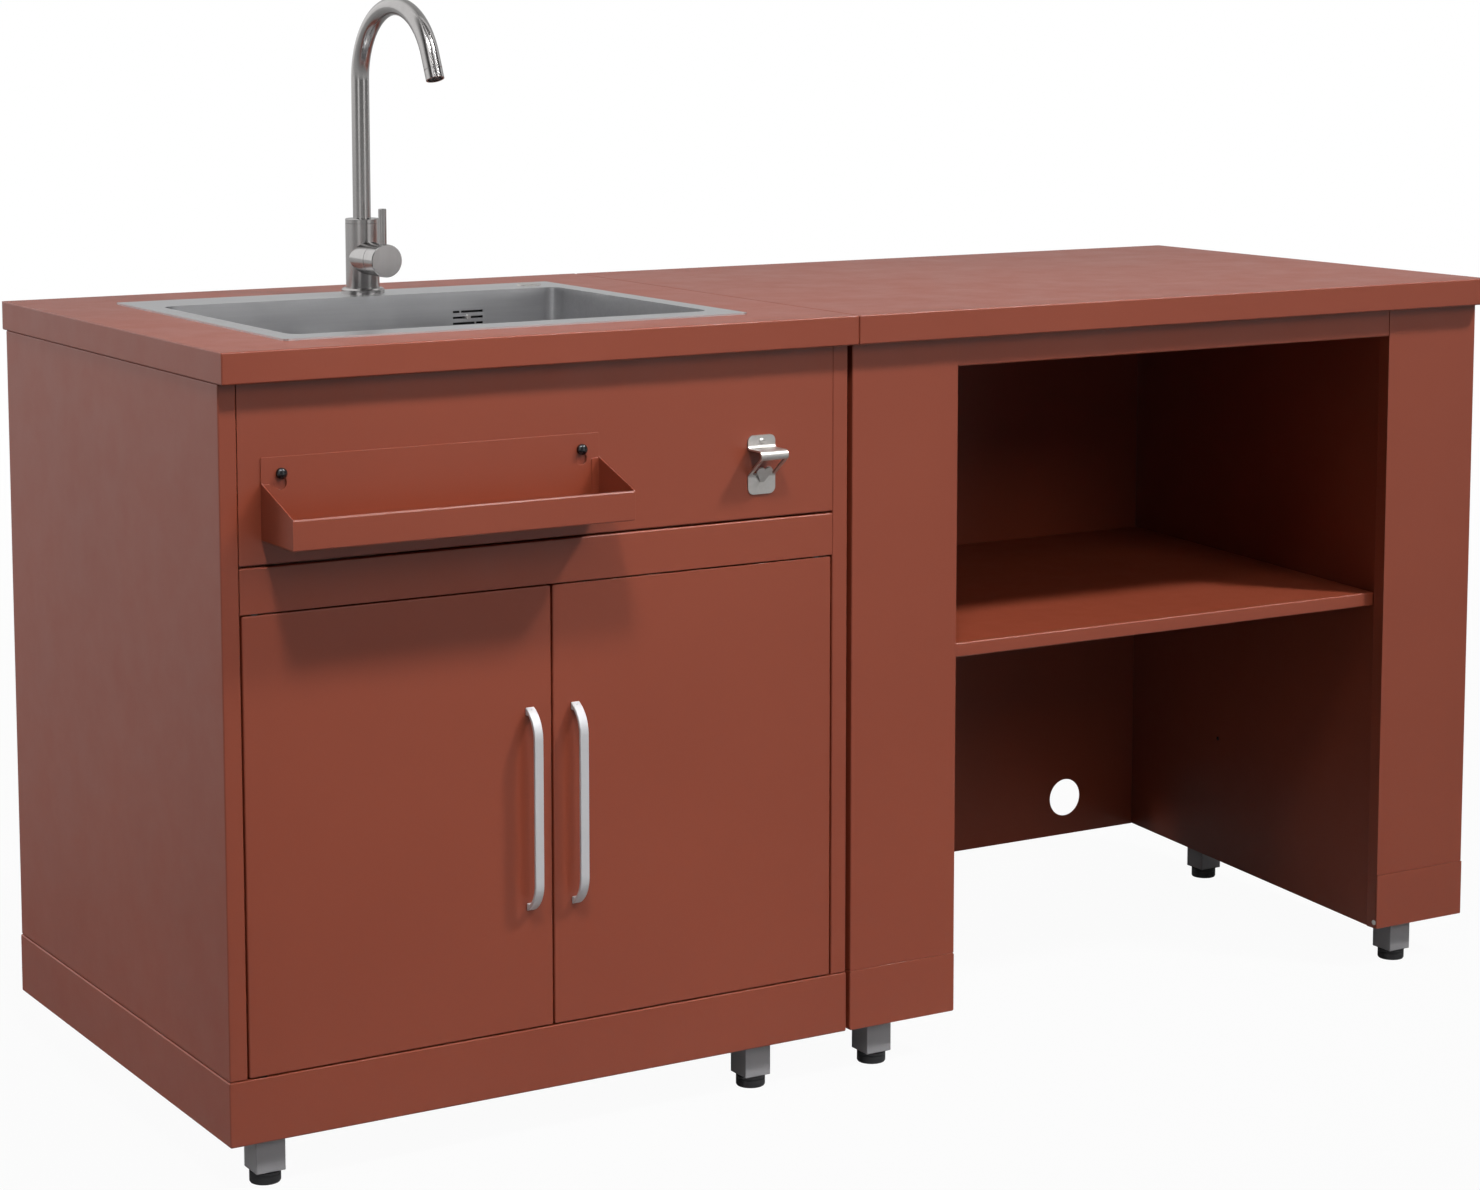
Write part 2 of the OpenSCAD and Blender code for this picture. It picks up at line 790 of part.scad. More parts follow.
// Folded tray that hangs on two studs by keyholes
module condiment_rack() {
    y1 = over_front - seam;
    big_r = stud_head_r + 0.8;
    tab = 10;
    color("#8b4635") place() difference() {
        union() {
            block([rack_x, y1 - sheet, rack_z], [rack_x + rack_w, y1, rack_z + rack_h]);
            block([rack_x, rack_front, rack_z], [rack_x + rack_w, y1, rack_z + sheet]);
            block([rack_x, rack_front, rack_z], [rack_x + rack_w, rack_front + sheet, rack_z + rack_lip]);
            for (x = [rack_x, rack_x + rack_w - sheet])
                translate([x, 0, rack_z]) rotate([90, 0, 90]) linear_extrude(sheet)
                    polygon([[rack_front, 0], [y1, 0], [y1, rack_cheek], [rack_front, rack_lip]]);
            for (x = [rack_x, rack_x + rack_w - tab])
                block([x, y1 - 2 * sheet, rack_z], [x + tab, y1 - sheet, rack_z + rack_cheek - 2]);
        }
        for (x = stud_xs())
            translate([x, y1 + cut, stud_z()]) rotate([90, 0, 0]) linear_extrude(sheet + 2 * cut) {
                translate([0, -rack_lift]) circle(big_r);
                translate([-stud_neck_r - seam, -rack_lift]) square([2 * (stud_neck_r + seam), rack_lift]);
                circle(stud_neck_r + seam);
            }
    }
}

// Studs with domed heads, each held by a nut behind the fascia
module rack_studs() {
    head_l = 7;
    gap = sheet + 2 * seam;
    color("#17181b") place() for (x = stud_xs())
        translate([x, over_front, stud_z()]) rotate([90, 0, 0]) {
            translate([0, 0, -sheet - 6]) cylinder(h = sheet + 6 + gap + 1, r = stud_neck_r);
            translate([0, 0, -sheet - 4]) cylinder(h = 4, r = 5.5, $fn = 6);
            translate([0, 0, gap]) intersection() {
                cylinder(h = head_l, r = stud_head_r);
                translate([0, 0, head_l - stud_head_r * 1.25]) sphere(stud_head_r * 1.25);
            }
        }
}

opener_screw_r = 2;
function opener_screw_z() = opener_z - opener_top / 2 + 0.5;

// Points of a bend about a centre, from one angle to another
function bend_points(centre, r, first, last) =
    let (steps = 12, turn = (last - first) / steps)
    [for (i = [0:steps]) centre + r * [cos(first + i * turn), sin(first + i * turn)]];

// Side view of the opener, X away from the fascia and Y up from its top edge downwards
module opener_outline() {
    t = opener_t;
    hollow = opener_bend + t;
    roll = [opener_out - opener_roll, -opener_top - opener_roll];
    upper = [hollow, opener_bend - opener_top];
    run = roll[0] - hollow;
    fall = (run * sin(opener_slope) + opener_roll + opener_bend) / cos(opener_slope);
    lower = [hollow, roll[1] - fall];
    z0 = opener_foot_top() - opener_bottom;
    polygon(concat(
        [[0, 0]],
        bend_points(upper, hollow, 180, 270),
        bend_points(roll, opener_roll - t, 90, opener_slope - 90),
        bend_points(lower, hollow, opener_slope + 90, 180),
        [[0, z0], [t, z0]],
        bend_points(lower, opener_bend, 180, opener_slope + 90),
        bend_points(roll, opener_roll, opener_slope - 90, 90),
        bend_points(upper, opener_bend, 270, 180),
        [[t, 0]]
    ));
}

// Level of the top of the opener's bottom plate, counted from its top edge
function opener_foot_top() =
    let (c = [opener_out - opener_roll, -opener_top - opener_roll])
    let (web = (c[0] + opener_roll * sin(opener_slope) - opener_t) / cos(opener_slope))
    c[1] - opener_roll * cos(opener_slope) - web * sin(opener_slope) + opener_t;

// Front view of the opener's strip, from its middle and its top edge
module opener_face() {
    r_top = 7;
    r_low = 8;
    h = opener_bottom - opener_foot_top();
    translate([-opener_w / 2, -h + r_low]) square([opener_w, h - r_low - r_top]);
    translate([-opener_w / 2 + r_top, -r_top]) square([opener_w - 2 * r_top, r_top]);
    translate([-opener_w / 2 + r_low, -h]) square([opener_w - 2 * r_low, r_low]);
    for (s = [-1, 1]) {
        translate([s * (opener_w / 2 - r_top), -r_top]) circle(r_top);
        translate([s * (opener_w / 2 - r_low), -h + r_low]) circle(r_low);
    }
}

// Outline of the two-lobed tooth, from its root upwards
module tooth_outline() {
    top = tooth_l - tooth_r;
    side = tooth_r - 0.5;
    polygon([[-2.5, 0], [2.5, 0], [side + tooth_r, top], [0, top + 2], [-side - tooth_r, top]]);
    for (s = [-1, 1]) translate([s * side, top]) circle(tooth_r);
}

// Strip bent into a ledge, a sloping web with a window, and a tooth that lifts the cap
module bottle_opener() {
    window_l = (opener_out - opener_roll) / cos(opener_slope) - 1;
    root_z = opener_foot_top() - 9;
    tooth_tilt = 26;
    color("#c6c8c9") place() translate([opener_x, over_front, opener_z]) {
        difference() {
            intersection() {
                from_side(opener_w) opener_outline();
                translate([0, cut, 0]) rotate([90, 0, 0]) linear_extrude(opener_out + 2 * cut) opener_face();
            }
            translate([0, -opener_out + opener_roll, -opener_top - opener_roll])
                rotate([-opener_slope, 0, 0])
                    translate([-opener_window / 2, 1, -opener_roll - cut])
                        cube([opener_window, window_l, opener_t + 2 * cut]);
            translate([0, cut, opener_screw_z() - opener_z]) rotate([90, 0, 0])
                cylinder(h = opener_t + 2 * cut, r = opener_screw_r + seam);
        }
        translate([0, -opener_t / 2, root_z]) rotate([90 + tooth_tilt, 0, 0])
            linear_extrude(opener_t) tooth_outline();
    }
}

module opener_screw() {
    head_r = 3.6;
    color("#b9bbbc") place() translate([opener_x, over_front - opener_t, opener_screw_z()])
        rotate([90, 0, 0]) {
            translate([0, 0, -opener_t - sheet - 7]) cylinder(h = opener_t + sheet + 7 + 0.5, r = opener_screw_r);
            intersection() {
                cylinder(h = 2.2, r = head_r);
                translate([0, 0, 2.2 - 4.5]) sphere(4.5);
            }
        }
}

// Pressed sink: raised rim with a turned-down edge, deck and bowl
module sink_bowl() {
    z0 = top_h;
    slots_y = bowl_y + bowl_d;
    color("#b4b7b9") place() difference() {
        union() {
            translate([sink_x, rim_y, z0]) linear_extrude(rim_up) difference() {
                round_rect(rim_w, rim_d, 6);
                translate([bowl_t, bowl_t]) round_rect(rim_w - 2 * bowl_t, rim_d - 2 * bowl_t, 6 - bowl_t);
            }
            translate([sink_x, rim_y, deck_z - bowl_t]) linear_extrude(bowl_t) round_rect(rim_w, rim_d, 6);
            translate([bowl_x - bowl_t, bowl_y - bowl_t, bowl_z - bowl_t])
                tub(bowl_w + 2 * bowl_t, bowl_d + 2 * bowl_t, bowl_h + bowl_t,
                    bowl_r + bowl_t, bowl_floor_r + bowl_t);
        }
        translate([bowl_x, bowl_y, bowl_z])
            tub(bowl_w, bowl_d, bowl_h + cut, bowl_r, bowl_floor_r);
        translate([waste_x, waste_y, bowl_z - bowl_t - cut]) cylinder(h = bowl_t + 2 * cut, r = waste_r);
        translate([tap_at[0], tap_at[1], deck_z - bowl_t - cut]) cylinder(h = bowl_t + 2 * cut, r = tap_hole_r);
        translate([cap_at[0], cap_at[1], deck_z - bowl_t - cut])
            cylinder(h = bowl_t + 2 * cut, r = cap_hole_r);
        translate([over_x, slots_y - cut, over_z]) overflow_slots();
        translate([over_x, slots_y - cut, over_z]) rotate([-90, 0, 0]) cylinder(h = bowl_t + 2 * cut, r = 1.7);
    }
}

// Three rows of slots, each row broken once by a bridge at another place
module overflow_slots() {
    bridge = 2;
    for (row = [-1, 0, 1]) {
        z = row * slot_pitch - slot_h / 2;
        at = row == 0 ? 0 : row * -slot_w / 4;
        gap = row == 0 ? 8 : bridge;
        block([-slot_w / 2, 0, z], [at - gap / 2, bowl_t + 2 * cut, z + slot_h]);
        block([at + gap / 2, 0, z], [slot_w / 2, bowl_t + 2 * cut, z + slot_h]);
    }
}

// Box behind the overflow slots with a spout for its pipe
module overflow_housing() {
    w = slot_w + 14;
    h = 2 * slot_pitch + 16;
    d = 16;
    wall = 2;
    y0 = bowl_y + bowl_d + bowl_t;
    color("#3a3b3e") place() translate([over_x, y0, over_z]) difference() {
        union() {
            block([-w / 2, 0, -h / 2], [w / 2, d, h / 2]);
            translate([0, d / 2, -h / 2 - 14]) cylinder(h = 15, r = 6.5);
        }
        block([-w / 2 + wall, -cut, -h / 2 + wall], [w / 2 - wall, d - wall, h / 2 - wall]);
        translate([0, d / 2, -h / 2 - 15]) cylinder(h = 15 + 2 * wall, r = 4.5);
        translate([0, d - wall - cut, 0]) rotate([-90, 0, 0]) cylinder(h = wall + 2 * cut, r = 1.7);
    }
}

module overflow_screw() {
    l = 22;
    color("#b9bbbc") place() translate([over_x, bowl_y + bowl_d, over_z]) {
        rotate([-90, 0, 0]) translate([0, 0, -1]) cylinder(h = l, r = 1.6);
        rotate([90, 0, 0]) cylinder(h = 1.8, r = 3.2);
    }
}

module drain_flange() {
    wall = 1.2;
    cup_r = waste_r - 0.5;
    color("#c0c3c4") place() translate([waste_x, waste_y, bowl_z]) difference() {
        union() {
            cylinder(h = 1.2, r = waste_r + 11);
            translate([0, 0, -cup_h]) cylinder(h = cup_h + 1, r = cup_r);
            translate([0, 0, -cup_h - 20]) cylinder(h = 21, r = pipe_r);
        }
        translate([0, 0, -cup_h + wall]) cylinder(h = cup_h + 2, r = cup_r - wall);
        translate([0, 0, -cup_h - 21]) cylinder(h = 24, r = pipe_r - 2);
    }
}

// Lift-out strainer: perforated cup with a knob in its middle
module strainer_basket() {
    r = waste_r - 0.5 - 1.2 - hair;
    wall = 1;
    h = cup_h - 12;
    ring = r - 9;
    color("#c0c3c4") place() translate([waste_x, waste_y, bowl_z - cup_h + 1.2 + hair]) {
        difference() {
            cylinder(h = h, r = r);
            translate([0, 0, wall]) cylinder(h = h, r = r - wall);
            for (k = [0:11]) rotate(k * 30) translate([ring, 0, -cut]) cylinder(h = wall + 2 * cut, r = 2.5);
            for (k = [0:11]) rotate(k * 30 + 15) translate([0, 0, h / 2]) rotate([0, 90, 0])
                cylinder(h = r + cut, r = 3);
        }
        cylinder(h = h - 6, r = 2.5);
        translate([0, 0, h - 8]) cylinder(h = 8, r = 8);
    }
}

module drain_nut() {
    color("#3a3b3e") place() translate([waste_x, waste_y, bowl_z - bowl_t - hair - 12]) difference() {
        cylinder(h = 12, r = waste_r + 9);
        translate([0, 0, -cut]) cylinder(h = 12 + 2 * cut, r = waste_r - 0.5 + seam);
        for (k = [0:7]) rotate(k * 45) translate([waste_r + 11, 0, -cut]) cylinder(h = 12 + 2 * cut, r = 4);
    }
}

function trap_out_z() = bowl_z - cup_h - trap_drop;

// Bottle trap with its outlet pipe to the service hole in the back
module drain_trap() {
    top_z = bowl_z - cup_h - 1;
    bottle_z = trap_out_z();
    color("#e3e3e0") place() translate([waste_x, waste_y, 0]) {
        difference() {
            union() {
                translate([0, 0, bottle_z + 20]) cylinder(h = top_z - bottle_z - 20, r = pipe_r + 3);
                translate([0, 0, top_z - 16]) cylinder(h = 15, r = pipe_r + 8);
                translate([0, 0, bottle_z - bottle_h + 25]) cylinder(h = bottle_h, r = bottle_r);
                translate([0, 0, bottle_z - bottle_h + 13]) cylinder(h = 20, r = bottle_r - 4);
                translate([0, 0, bottle_z]) rotate([-90, 0, 0])
                    cylinder(h = case_back - sheet - seam - waste_y - 8, r = pipe_r - 3);
                translate([0, bottle_r - 2, bottle_z]) rotate([-90, 0, 0]) cylinder(h = 22, r = pipe_r + 3);
            }
            translate([0, 0, top_z - 24]) cylinder(h = 40, r = pipe_r + seam);
            translate([0, bottle_r + 30, bottle_z]) rotate([-90, 0, 0])
                cylinder(h = case_back, r = pipe_r - 5);
        }
    }
}

// Cover of the spare hole in the deck: shallow dome with a clip below
module deck_cap() {
    color("#c0c3c4") place() translate(cap_at) {
        cylinder(h = 1.4, r = cap_r);
        translate([0, 0, 1.4]) cylinder(h = 1, r1 = cap_r, r2 = cap_r - 2.5);
        translate([0, 0, -8]) cylinder(h = 9, r = cap_hole_r - hair);
    }
}

module tap_base() {
    c = 2;
    color("#a6a9ab") place() translate(tap_at) difference() {
        union() {
            cylinder(h = tap_base_h - c, r = tap_base_r);
            translate([0, 0, tap_base_h - c]) cylinder(h = c, r1 = tap_base_r, r2 = tap_base_r - c);
        }
        translate([0, 0, -cut]) cylinder(h = tap_base_h + 2 * cut, r = shank_r + seam);
    }
}

ring_h = 6;
socket_d = 34;
cartridge_r = 14;
barrel_gap = 0.5;
barrel_out = knob_out - knob_l - barrel_gap;
cartridge_l = 26;

// Body of the tap with the barrel of its valve and the threaded shank below the deck
module tap_body() {
    top = body_h - ring_h;
    color("#a6a9ab") place() translate(tap_at) difference() {
        union() {
            translate([0, 0, tap_base_h]) cylinder(h = top - tap_base_h, r = body_r);
            translate([0, 0, -45]) cylinder(h = 46 + tap_base_h, r = shank_r);
            translate([0, 0, knob_z]) rotate([90, 0, 0]) cylinder(h = barrel_out, r = knob_r);
        }
        translate([0, 0, top - socket_d]) cylinder(h = socket_d + cut, r = spout_r + 0.4);
        translate([0, -barrel_out - cut, knob_z]) rotate([-90, 0, 0])
            cylinder(h = cartridge_l + cut, r = cartridge_r + seam);
        translate([0, 0, -46]) cylinder(h = 30, r = 8);
    }
}

module tap_ring() {
    c = 0.8;
    color("#b4b7b9") place() translate(tap_at) translate([0, 0, body_h - ring_h + hair]) difference() {
        union() {
            cylinder(h = ring_h - hair - c, r = body_r);
            translate([0, 0, ring_h - hair - c]) cylinder(h = c, r1 = body_r, r2 = body_r - c);
        }
        translate([0, 0, -cut]) cylinder(h = ring_h + 2 * cut, r = spout_r + turn_fit);
    }
}

// Swivelling spout: riser and bend of one tube
module tap_spout() {
    riser_l = riser_h - (body_h - ring_h - socket_d + 2);
    color("#a6a9ab") place() in_bend_plane() {
        translate([spout_bend, 0, 0]) rotate([90, 0, 0]) difference() {
            cylinder(h = riser_l, r = spout_r);
            translate([0, 0, -cut]) cylinder(h = riser_l + 2 * cut, r = spout_r - spout_wall);
        }
        rotate_extrude(angle = spout_angle) translate([spout_bend, 0]) difference() {
            circle(spout_r);
            circle(spout_r - spout_wall);
        }
    }
}

// Stands the plane of the bend upright over the tap, with the bend's middle at its origin
module in_bend_plane() {
    translate(tap_at) rotate(spout_turn)
        translate([0, -spout_bend, riser_h]) rotate([90, 0, 90]) children();
}

// Straight end of the spout: a sleeve and the nozzle below a fine groove
module tap_aerator() {
    nozzle = 13;
    color("#8f9294") place() in_bend_plane() rotate(spout_angle)
        translate([spout_bend, 0.05, 0]) rotate([-90, 0, 0]) difference() {
            cylinder(h = aerator_l, r = spout_r);
            translate([0, 0, aerator_l - 5]) cylinder(h = 5 + cut, r = spout_r - 2);
            translate([0, 0, aerator_l - nozzle]) difference() {
                cylinder(h = 0.8, r = spout_r + cut);
                translate([0, 0, -cut]) cylinder(h = 3, r = spout_r - 0.6);
            }
        }
}

module tap_knob() {
    c = 0.8;
    color("#8d9092") place() translate(tap_at) translate([0, -knob_out, knob_z]) difference() {
        rotate([-90, 0, 0]) {
            cylinder(h = c, r1 = knob_r - c, r2 = knob_r);
            translate([0, 0, c]) cylinder(h = knob_l - 2 * c, r = knob_r);
            translate([0, 0, knob_l - c]) cylinder(h = c, r1 = knob_r, r2 = knob_r - c);
        }
        translate([0, 12, knob_z_seat()]) cylinder(h = knob_r, r = lever_r + turn_fit);
        translate([0, knob_l - 14, 0]) rotate([-90, 0, 0]) cylinder(h = 14 + cut, r = 4 + turn_fit);
    }
}

function knob_z_seat() = 13;

module tap_lever() {
    c = 0.8;
    color("#8d9092") place() translate(tap_at) translate([0, 12 - knob_out, knob_z + knob_z_seat()]) {
        l = lever_h - knob_z_seat();
        cylinder(h = l - c, r = lever_r);
        translate([0, 0, l - c]) cylinder(h = c, r1 = lever_r, r2 = lever_r - c);
    }
}

// Valve cartridge in the barrel with the spindle that carries the knob
module tap_cartridge() {
    color("#d9d9d4") place() translate(tap_at) translate([0, -barrel_out, knob_z]) rotate([-90, 0, 0]) {
        translate([0, 0, 1]) cylinder(h = cartridge_l - 1 - hair, r = cartridge_r);
        translate([0, 0, -barrel_gap - 13]) cylinder(h = barrel_gap + 15, r = 4);
    }
}

module tap_nut() {
    color("#b08d57") place() translate(tap_at) translate([0, 0, -bowl_t - hair - 9]) difference() {
        union() {
            translate([0, 0, 6]) cylinder(h = 3, r = 22);
            cylinder(h = 7, r = 20, $fn = 6);
        }
        translate([0, 0, -cut]) cylinder(h = 9 + 2 * cut, r = shank_r + seam);
    }
}

module table_worktop() {
    color("#8b4635") place() worktop(table_x, table_top_w);
}

// Outer side of the left pedestal, folded round into the pilaster and its inner return
module table_side() {
    z0 = skirt_top + hair;
    front = over_front;
    x0 = table_left;
    block([x0, front, z0], [x0 + sheet, case_back, case_top]);
    block([x0, front, z0], [bay_left, front + sheet, case_top]);
    block([bay_left - sheet, front, z0], [bay_left, front + pilaster_return, case_top]);
    block([bay_left - sheet, front + sheet + seam, skirt_z], [bay_left, front + pilaster_return, case_top]);
    block([x0, case_back - sheet, z0], [x0 + flange, case_back, case_top]);
    block([x0, front, z0], [x0 + flange, case_back, z0 + sheet]);
    block([x0, front, case_top - sheet], [x0 + flange, case_back, case_top]);
}

module table_side_left() {
    color("#8b4635") place() difference() {
        table_side();
        bolt_holes(table_left - cut, table_left + 2 * sheet);
    }
}

module table_side_right() {
    color("#8b4635") place() other_end() table_side();
}

// Place across of the left inner wall's face, at a distance from the worktop's front edge
function wall_at(y) = wall_face - max(0, y - wall_bend) * tan(wall_spread);

// Plan of a strip along the inside of the left inner wall, which bends behind the return
module wall_strip(w) {
    y0 = over_front + sheet + seam;
    x1 = wall_at(case_back);
    polygon([
        [wall_face - w, y0], [wall_face, y0], [wall_face, wall_bend],
        [x1, case_back], [x1 - w, case_back], [wall_face - w, wall_bend]
    ]);
}

// Inner wall of the left pedestal
module table_wall() {
    x1 = wall_at(case_back);
    translate([0, 0, skirt_z]) linear_extrude(case_top - skirt_z) wall_strip(sheet);
    translate([0, 0, case_top - sheet]) linear_extrude(sheet) wall_strip(flange);
    block([x1 - flange, case_back - sheet, skirt_top + hair], [x1, case_back, case_top]);
}

module table_wall_left() {
    color("#5a2f27") place() table_wall();
}

module table_wall_right() {
    color("#5a2f27") place() other_end() table_wall();
}

// Foot block of the left pedestal: skirt on the front and the outer side, and the deck on top
module table_plinth() {
    x0 = table_left - skirt_out;
    x1 = wall_x - seam;
    x2 = wall_at(case_back) - sheet - seam;
    y0 = over_front - skirt_out;
    block([x0, y0, skirt_z], [x0 + sheet, case_back, skirt_top]);
    block([x0, y0, skirt_z], [bay_left, y0 + sheet, skirt_top]);
    translate([0, 0, floor_top]) linear_extrude(sheet)
        polygon([[x0, y0], [x1, y0], [x1, wall_bend], [x2, case_back], [x0, case_back]]);
    block([x0, y0, skirt_z], [x0 + skirt_lip, case_back, skirt_z + sheet]);
    block([x0, y0, skirt_z], [x1, y0 + skirt_lip, skirt_z + sheet]);
}

module table_plinth_left() {
    color("#8b4635") place() table_plinth();
}

module table_plinth_right() {
    color("#8b4635") place() other_end() table_plinth();
}

module table_apron() {
    y0 = over_front + apron_back;
    x0 = bay_left + seam;
    x1 = bay_right - seam;
    color("#8b4635") place() {
        block([x0, y0, case_top - apron_h], [x1, y0 + sheet, case_top]);
        block([x0, y0, case_top - apron_h], [x1, y0 + flange, case_top - apron_h + sheet]);
        block([x0, y0, case_top - sheet], [x1, y0 + flange, case_top]);
    }
}

module table_back_panel() {
    x0 = wall_at(panel_y) + seam;
    x1 = 2 * table_mid - x0;
    color("#4a2822") place() difference() {
        union() {
            block([x0, panel_y, skirt_z], [x1, panel_y + sheet, case_top]);
            for (x = [x0, x1 - sheet])
                block([x, panel_y, skirt_z], [x + sheet, panel_y + flange, case_top]);
            block([x0, panel_y, case_top - sheet], [x1, panel_y + flange, case_top]);
        }
        translate([bay_right - cable_x, panel_y - cut, cable_z]) rotate([-90, 0, 0])
            cylinder(h = sheet + 2 * cut, r = cable_r);
    }
}

// Plan of the shelf between two distances from the front, drawn in from the inner walls
module shelf_plan(y0, y1, inset) {
    a = wall_at(y0) + inset;
    b = wall_at(y1) + inset;
    polygon([[a, y0], [2 * table_mid - a, y0], [2 * table_mid - b, y1], [b, y1]]);
}

module table_shelf() {
    y0 = over_front + pilaster_return + hair + 1;
    y1 = panel_y - hair;
    y2 = y1 - sheet;
    z0 = shelf_z - shelf_t;
    lip = 12;
    color("#8b4635") place() difference() {
        translate([0, 0, z0]) linear_extrude(shelf_t) shelf_plan(y0, y1, seam);
        translate([0, 0, z0 + sheet]) linear_extrude(shelf_t - 2 * sheet)
            shelf_plan(y0 + sheet, y2, seam + sheet);
        translate([0, 0, z0 - cut]) linear_extrude(2 * sheet + cut) shelf_plan(y0 + lip, y2, seam + sheet);
    }
}

// Bolts with spacers and nuts that join the cabinet to the table
module module_bolts() {
    gap = table_left - case_right;
    color("#9a9d9f") place() for (s = bolt_spots)
        translate([case_right, s[0], s[1]]) rotate([0, 90, 0]) {
            translate([0, 0, -sheet]) cylinder(h = gap + 2 * sheet + 9, r = bolt_r);
            translate([0, 0, -sheet - 5.3]) cylinder(h = 5.3, r = 7.5, $fn = 6);
            translate([0, 0, hair / 2]) difference() {
                cylinder(h = gap - hair, r = 10);
                translate([0, 0, -cut]) cylinder(h = gap + cut, r = bolt_r + turn_fit);
            }
            translate([0, 0, gap + sheet + hair / 2]) difference() {
                cylinder(h = 6.5, r = 7.5, $fn = 6);
                translate([0, 0, -cut]) cylinder(h = 9, r = bolt_r + turn_fit);
            }
        }
}

sink_worktop();
sink_side_left();
sink_side_right();
sink_back_panel();
sink_floor_panel();
sink_fascia();
sink_mid_rail();
sink_plinth();
sink_legs();
sink_foot_front_left();
sink_foot_front_right();
sink_foot_rear_left();
sink_foot_rear_right();
door_left();
door_right();
handle_left();
handle_right();
handle_screws_left();
handle_screws_right();
hinge_pins_left();
hinge_pins_right();
hinge_bushes();
magnet_catches();
condiment_rack();
rack_studs();
bottle_opener();
opener_screw();
sink_bowl();
overflow_housing();
overflow_screw();
drain_flange();
strainer_basket();
drain_nut();
drain_trap();
deck_cap();
tap_base();
tap_body();
tap_ring();
tap_spout();
tap_aerator();
tap_knob();
tap_lever();
tap_cartridge();
tap_nut();
table_worktop();
table_side_left();
table_side_right();
table_wall_left();
table_wall_right();
table_plinth_left();
table_plinth_right();
table_apron();
table_back_panel();
table_shelf();
table_legs();
table_foot_front_left();
table_foot_front_right();
table_foot_rear_left();
table_foot_rear_right();
module_bolts();
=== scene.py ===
# %% [markdown]
# # An outdoor kitchen, dressed over its CAD frame
#
# The object is a sink cabinet with two doors and, joined to its right end, an open
# table module with one shelf. Both are folded from thin steel sheet and powder coated
# in a brick red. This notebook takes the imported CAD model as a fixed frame, rounds its
# folds, adds the small parts that CAD leaves plain, and gives every surface a finish.
# All lengths are metres, X runs to the right, Y to the back and Z up from the ground.

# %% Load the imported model
import json
import math
import bmesh
import bpy
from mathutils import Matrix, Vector

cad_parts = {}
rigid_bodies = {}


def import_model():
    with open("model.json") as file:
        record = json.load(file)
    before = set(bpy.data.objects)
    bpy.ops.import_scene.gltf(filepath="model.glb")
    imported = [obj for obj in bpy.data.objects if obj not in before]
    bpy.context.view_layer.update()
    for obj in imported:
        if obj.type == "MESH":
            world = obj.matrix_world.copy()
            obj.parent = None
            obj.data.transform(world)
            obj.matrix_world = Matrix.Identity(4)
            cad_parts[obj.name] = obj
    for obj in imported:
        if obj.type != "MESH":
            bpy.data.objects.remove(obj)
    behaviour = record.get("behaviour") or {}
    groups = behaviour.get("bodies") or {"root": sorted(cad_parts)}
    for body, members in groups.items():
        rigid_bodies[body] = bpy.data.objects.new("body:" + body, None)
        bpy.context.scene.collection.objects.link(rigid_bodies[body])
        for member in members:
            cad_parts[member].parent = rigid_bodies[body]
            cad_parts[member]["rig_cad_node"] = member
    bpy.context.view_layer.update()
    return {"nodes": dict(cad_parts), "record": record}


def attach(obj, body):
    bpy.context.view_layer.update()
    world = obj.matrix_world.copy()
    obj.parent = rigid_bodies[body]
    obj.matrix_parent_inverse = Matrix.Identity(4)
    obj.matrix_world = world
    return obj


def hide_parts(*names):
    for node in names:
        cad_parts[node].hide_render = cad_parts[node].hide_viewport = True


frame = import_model()
nodes = frame["nodes"]
record = frame["record"]
body_of = {n: body for body, names in record["behaviour"]["bodies"].items() for n in names}
slot_of = {row["node"]: row["material_slot"] for row in record["subparts"]}

# %% [markdown]
# ## Small tools for working as by hand
#
# In a window you click on a piece, press Tab to edit its mesh and pick faces with the
# mouse. A script does the same with operators, so these helpers select one piece, open
# its mesh, and pick faces by their place or direction. Everything is deselected first,
# because an operator acts on all that is selected.

# %% Select one piece, open and close its mesh
def only(piece):
    bpy.ops.object.select_all(action="DESELECT")
    piece.select_set(True)
    bpy.context.view_layer.objects.active = piece


def open_mesh(piece, mode="FACE"):
    only(piece)
    bpy.ops.object.mode_set(mode="EDIT")
    bpy.ops.mesh.select_mode(type=mode)
    bpy.ops.mesh.select_all(action="DESELECT")


def close_mesh():
    bpy.ops.object.mode_set(mode="OBJECT")


def pick_faces(piece, test):
    mesh = bmesh.from_edit_mesh(piece.data)
    for face in mesh.faces:
        face.select_set(bool(test(face.calc_center_median(), face.normal)))
    bmesh.update_edit_mesh(piece.data)


def apply_modifier(piece, kind, **settings):
    only(piece)
    bpy.ops.object.modifier_add(type=kind)
    modifier = piece.modifiers[-1]
    for name, value in settings.items():
        setattr(modifier, name, value)
    bpy.ops.object.modifier_apply(modifier=modifier.name)


# %% [markdown]
# ## Node helpers
#
# A finish is a network of shader nodes. Writing each node takes three lines, so small
# helpers add a node with its settings and feed its sockets. A socket takes either a
# plain number or the output of another node, and `feed` tells the two apart. The kinds
# of node that come back often, a sum, a ramp from one range to another and a noise
# pattern, have helpers of their own.

# %% Add shader nodes and feed their sockets
def add_node(tree, kind, x, y, **settings):
    made = tree.nodes.new(kind)
    made.location = (x, y)
    for name, value in settings.items():
        setattr(made, name, value)
    return made


def join(tree, source, target):
    tree.links.new(source, target)


def feed(tree, value, socket):
    if isinstance(value, (int, float)):
        socket.default_value = value
    else:
        join(tree, value, socket)


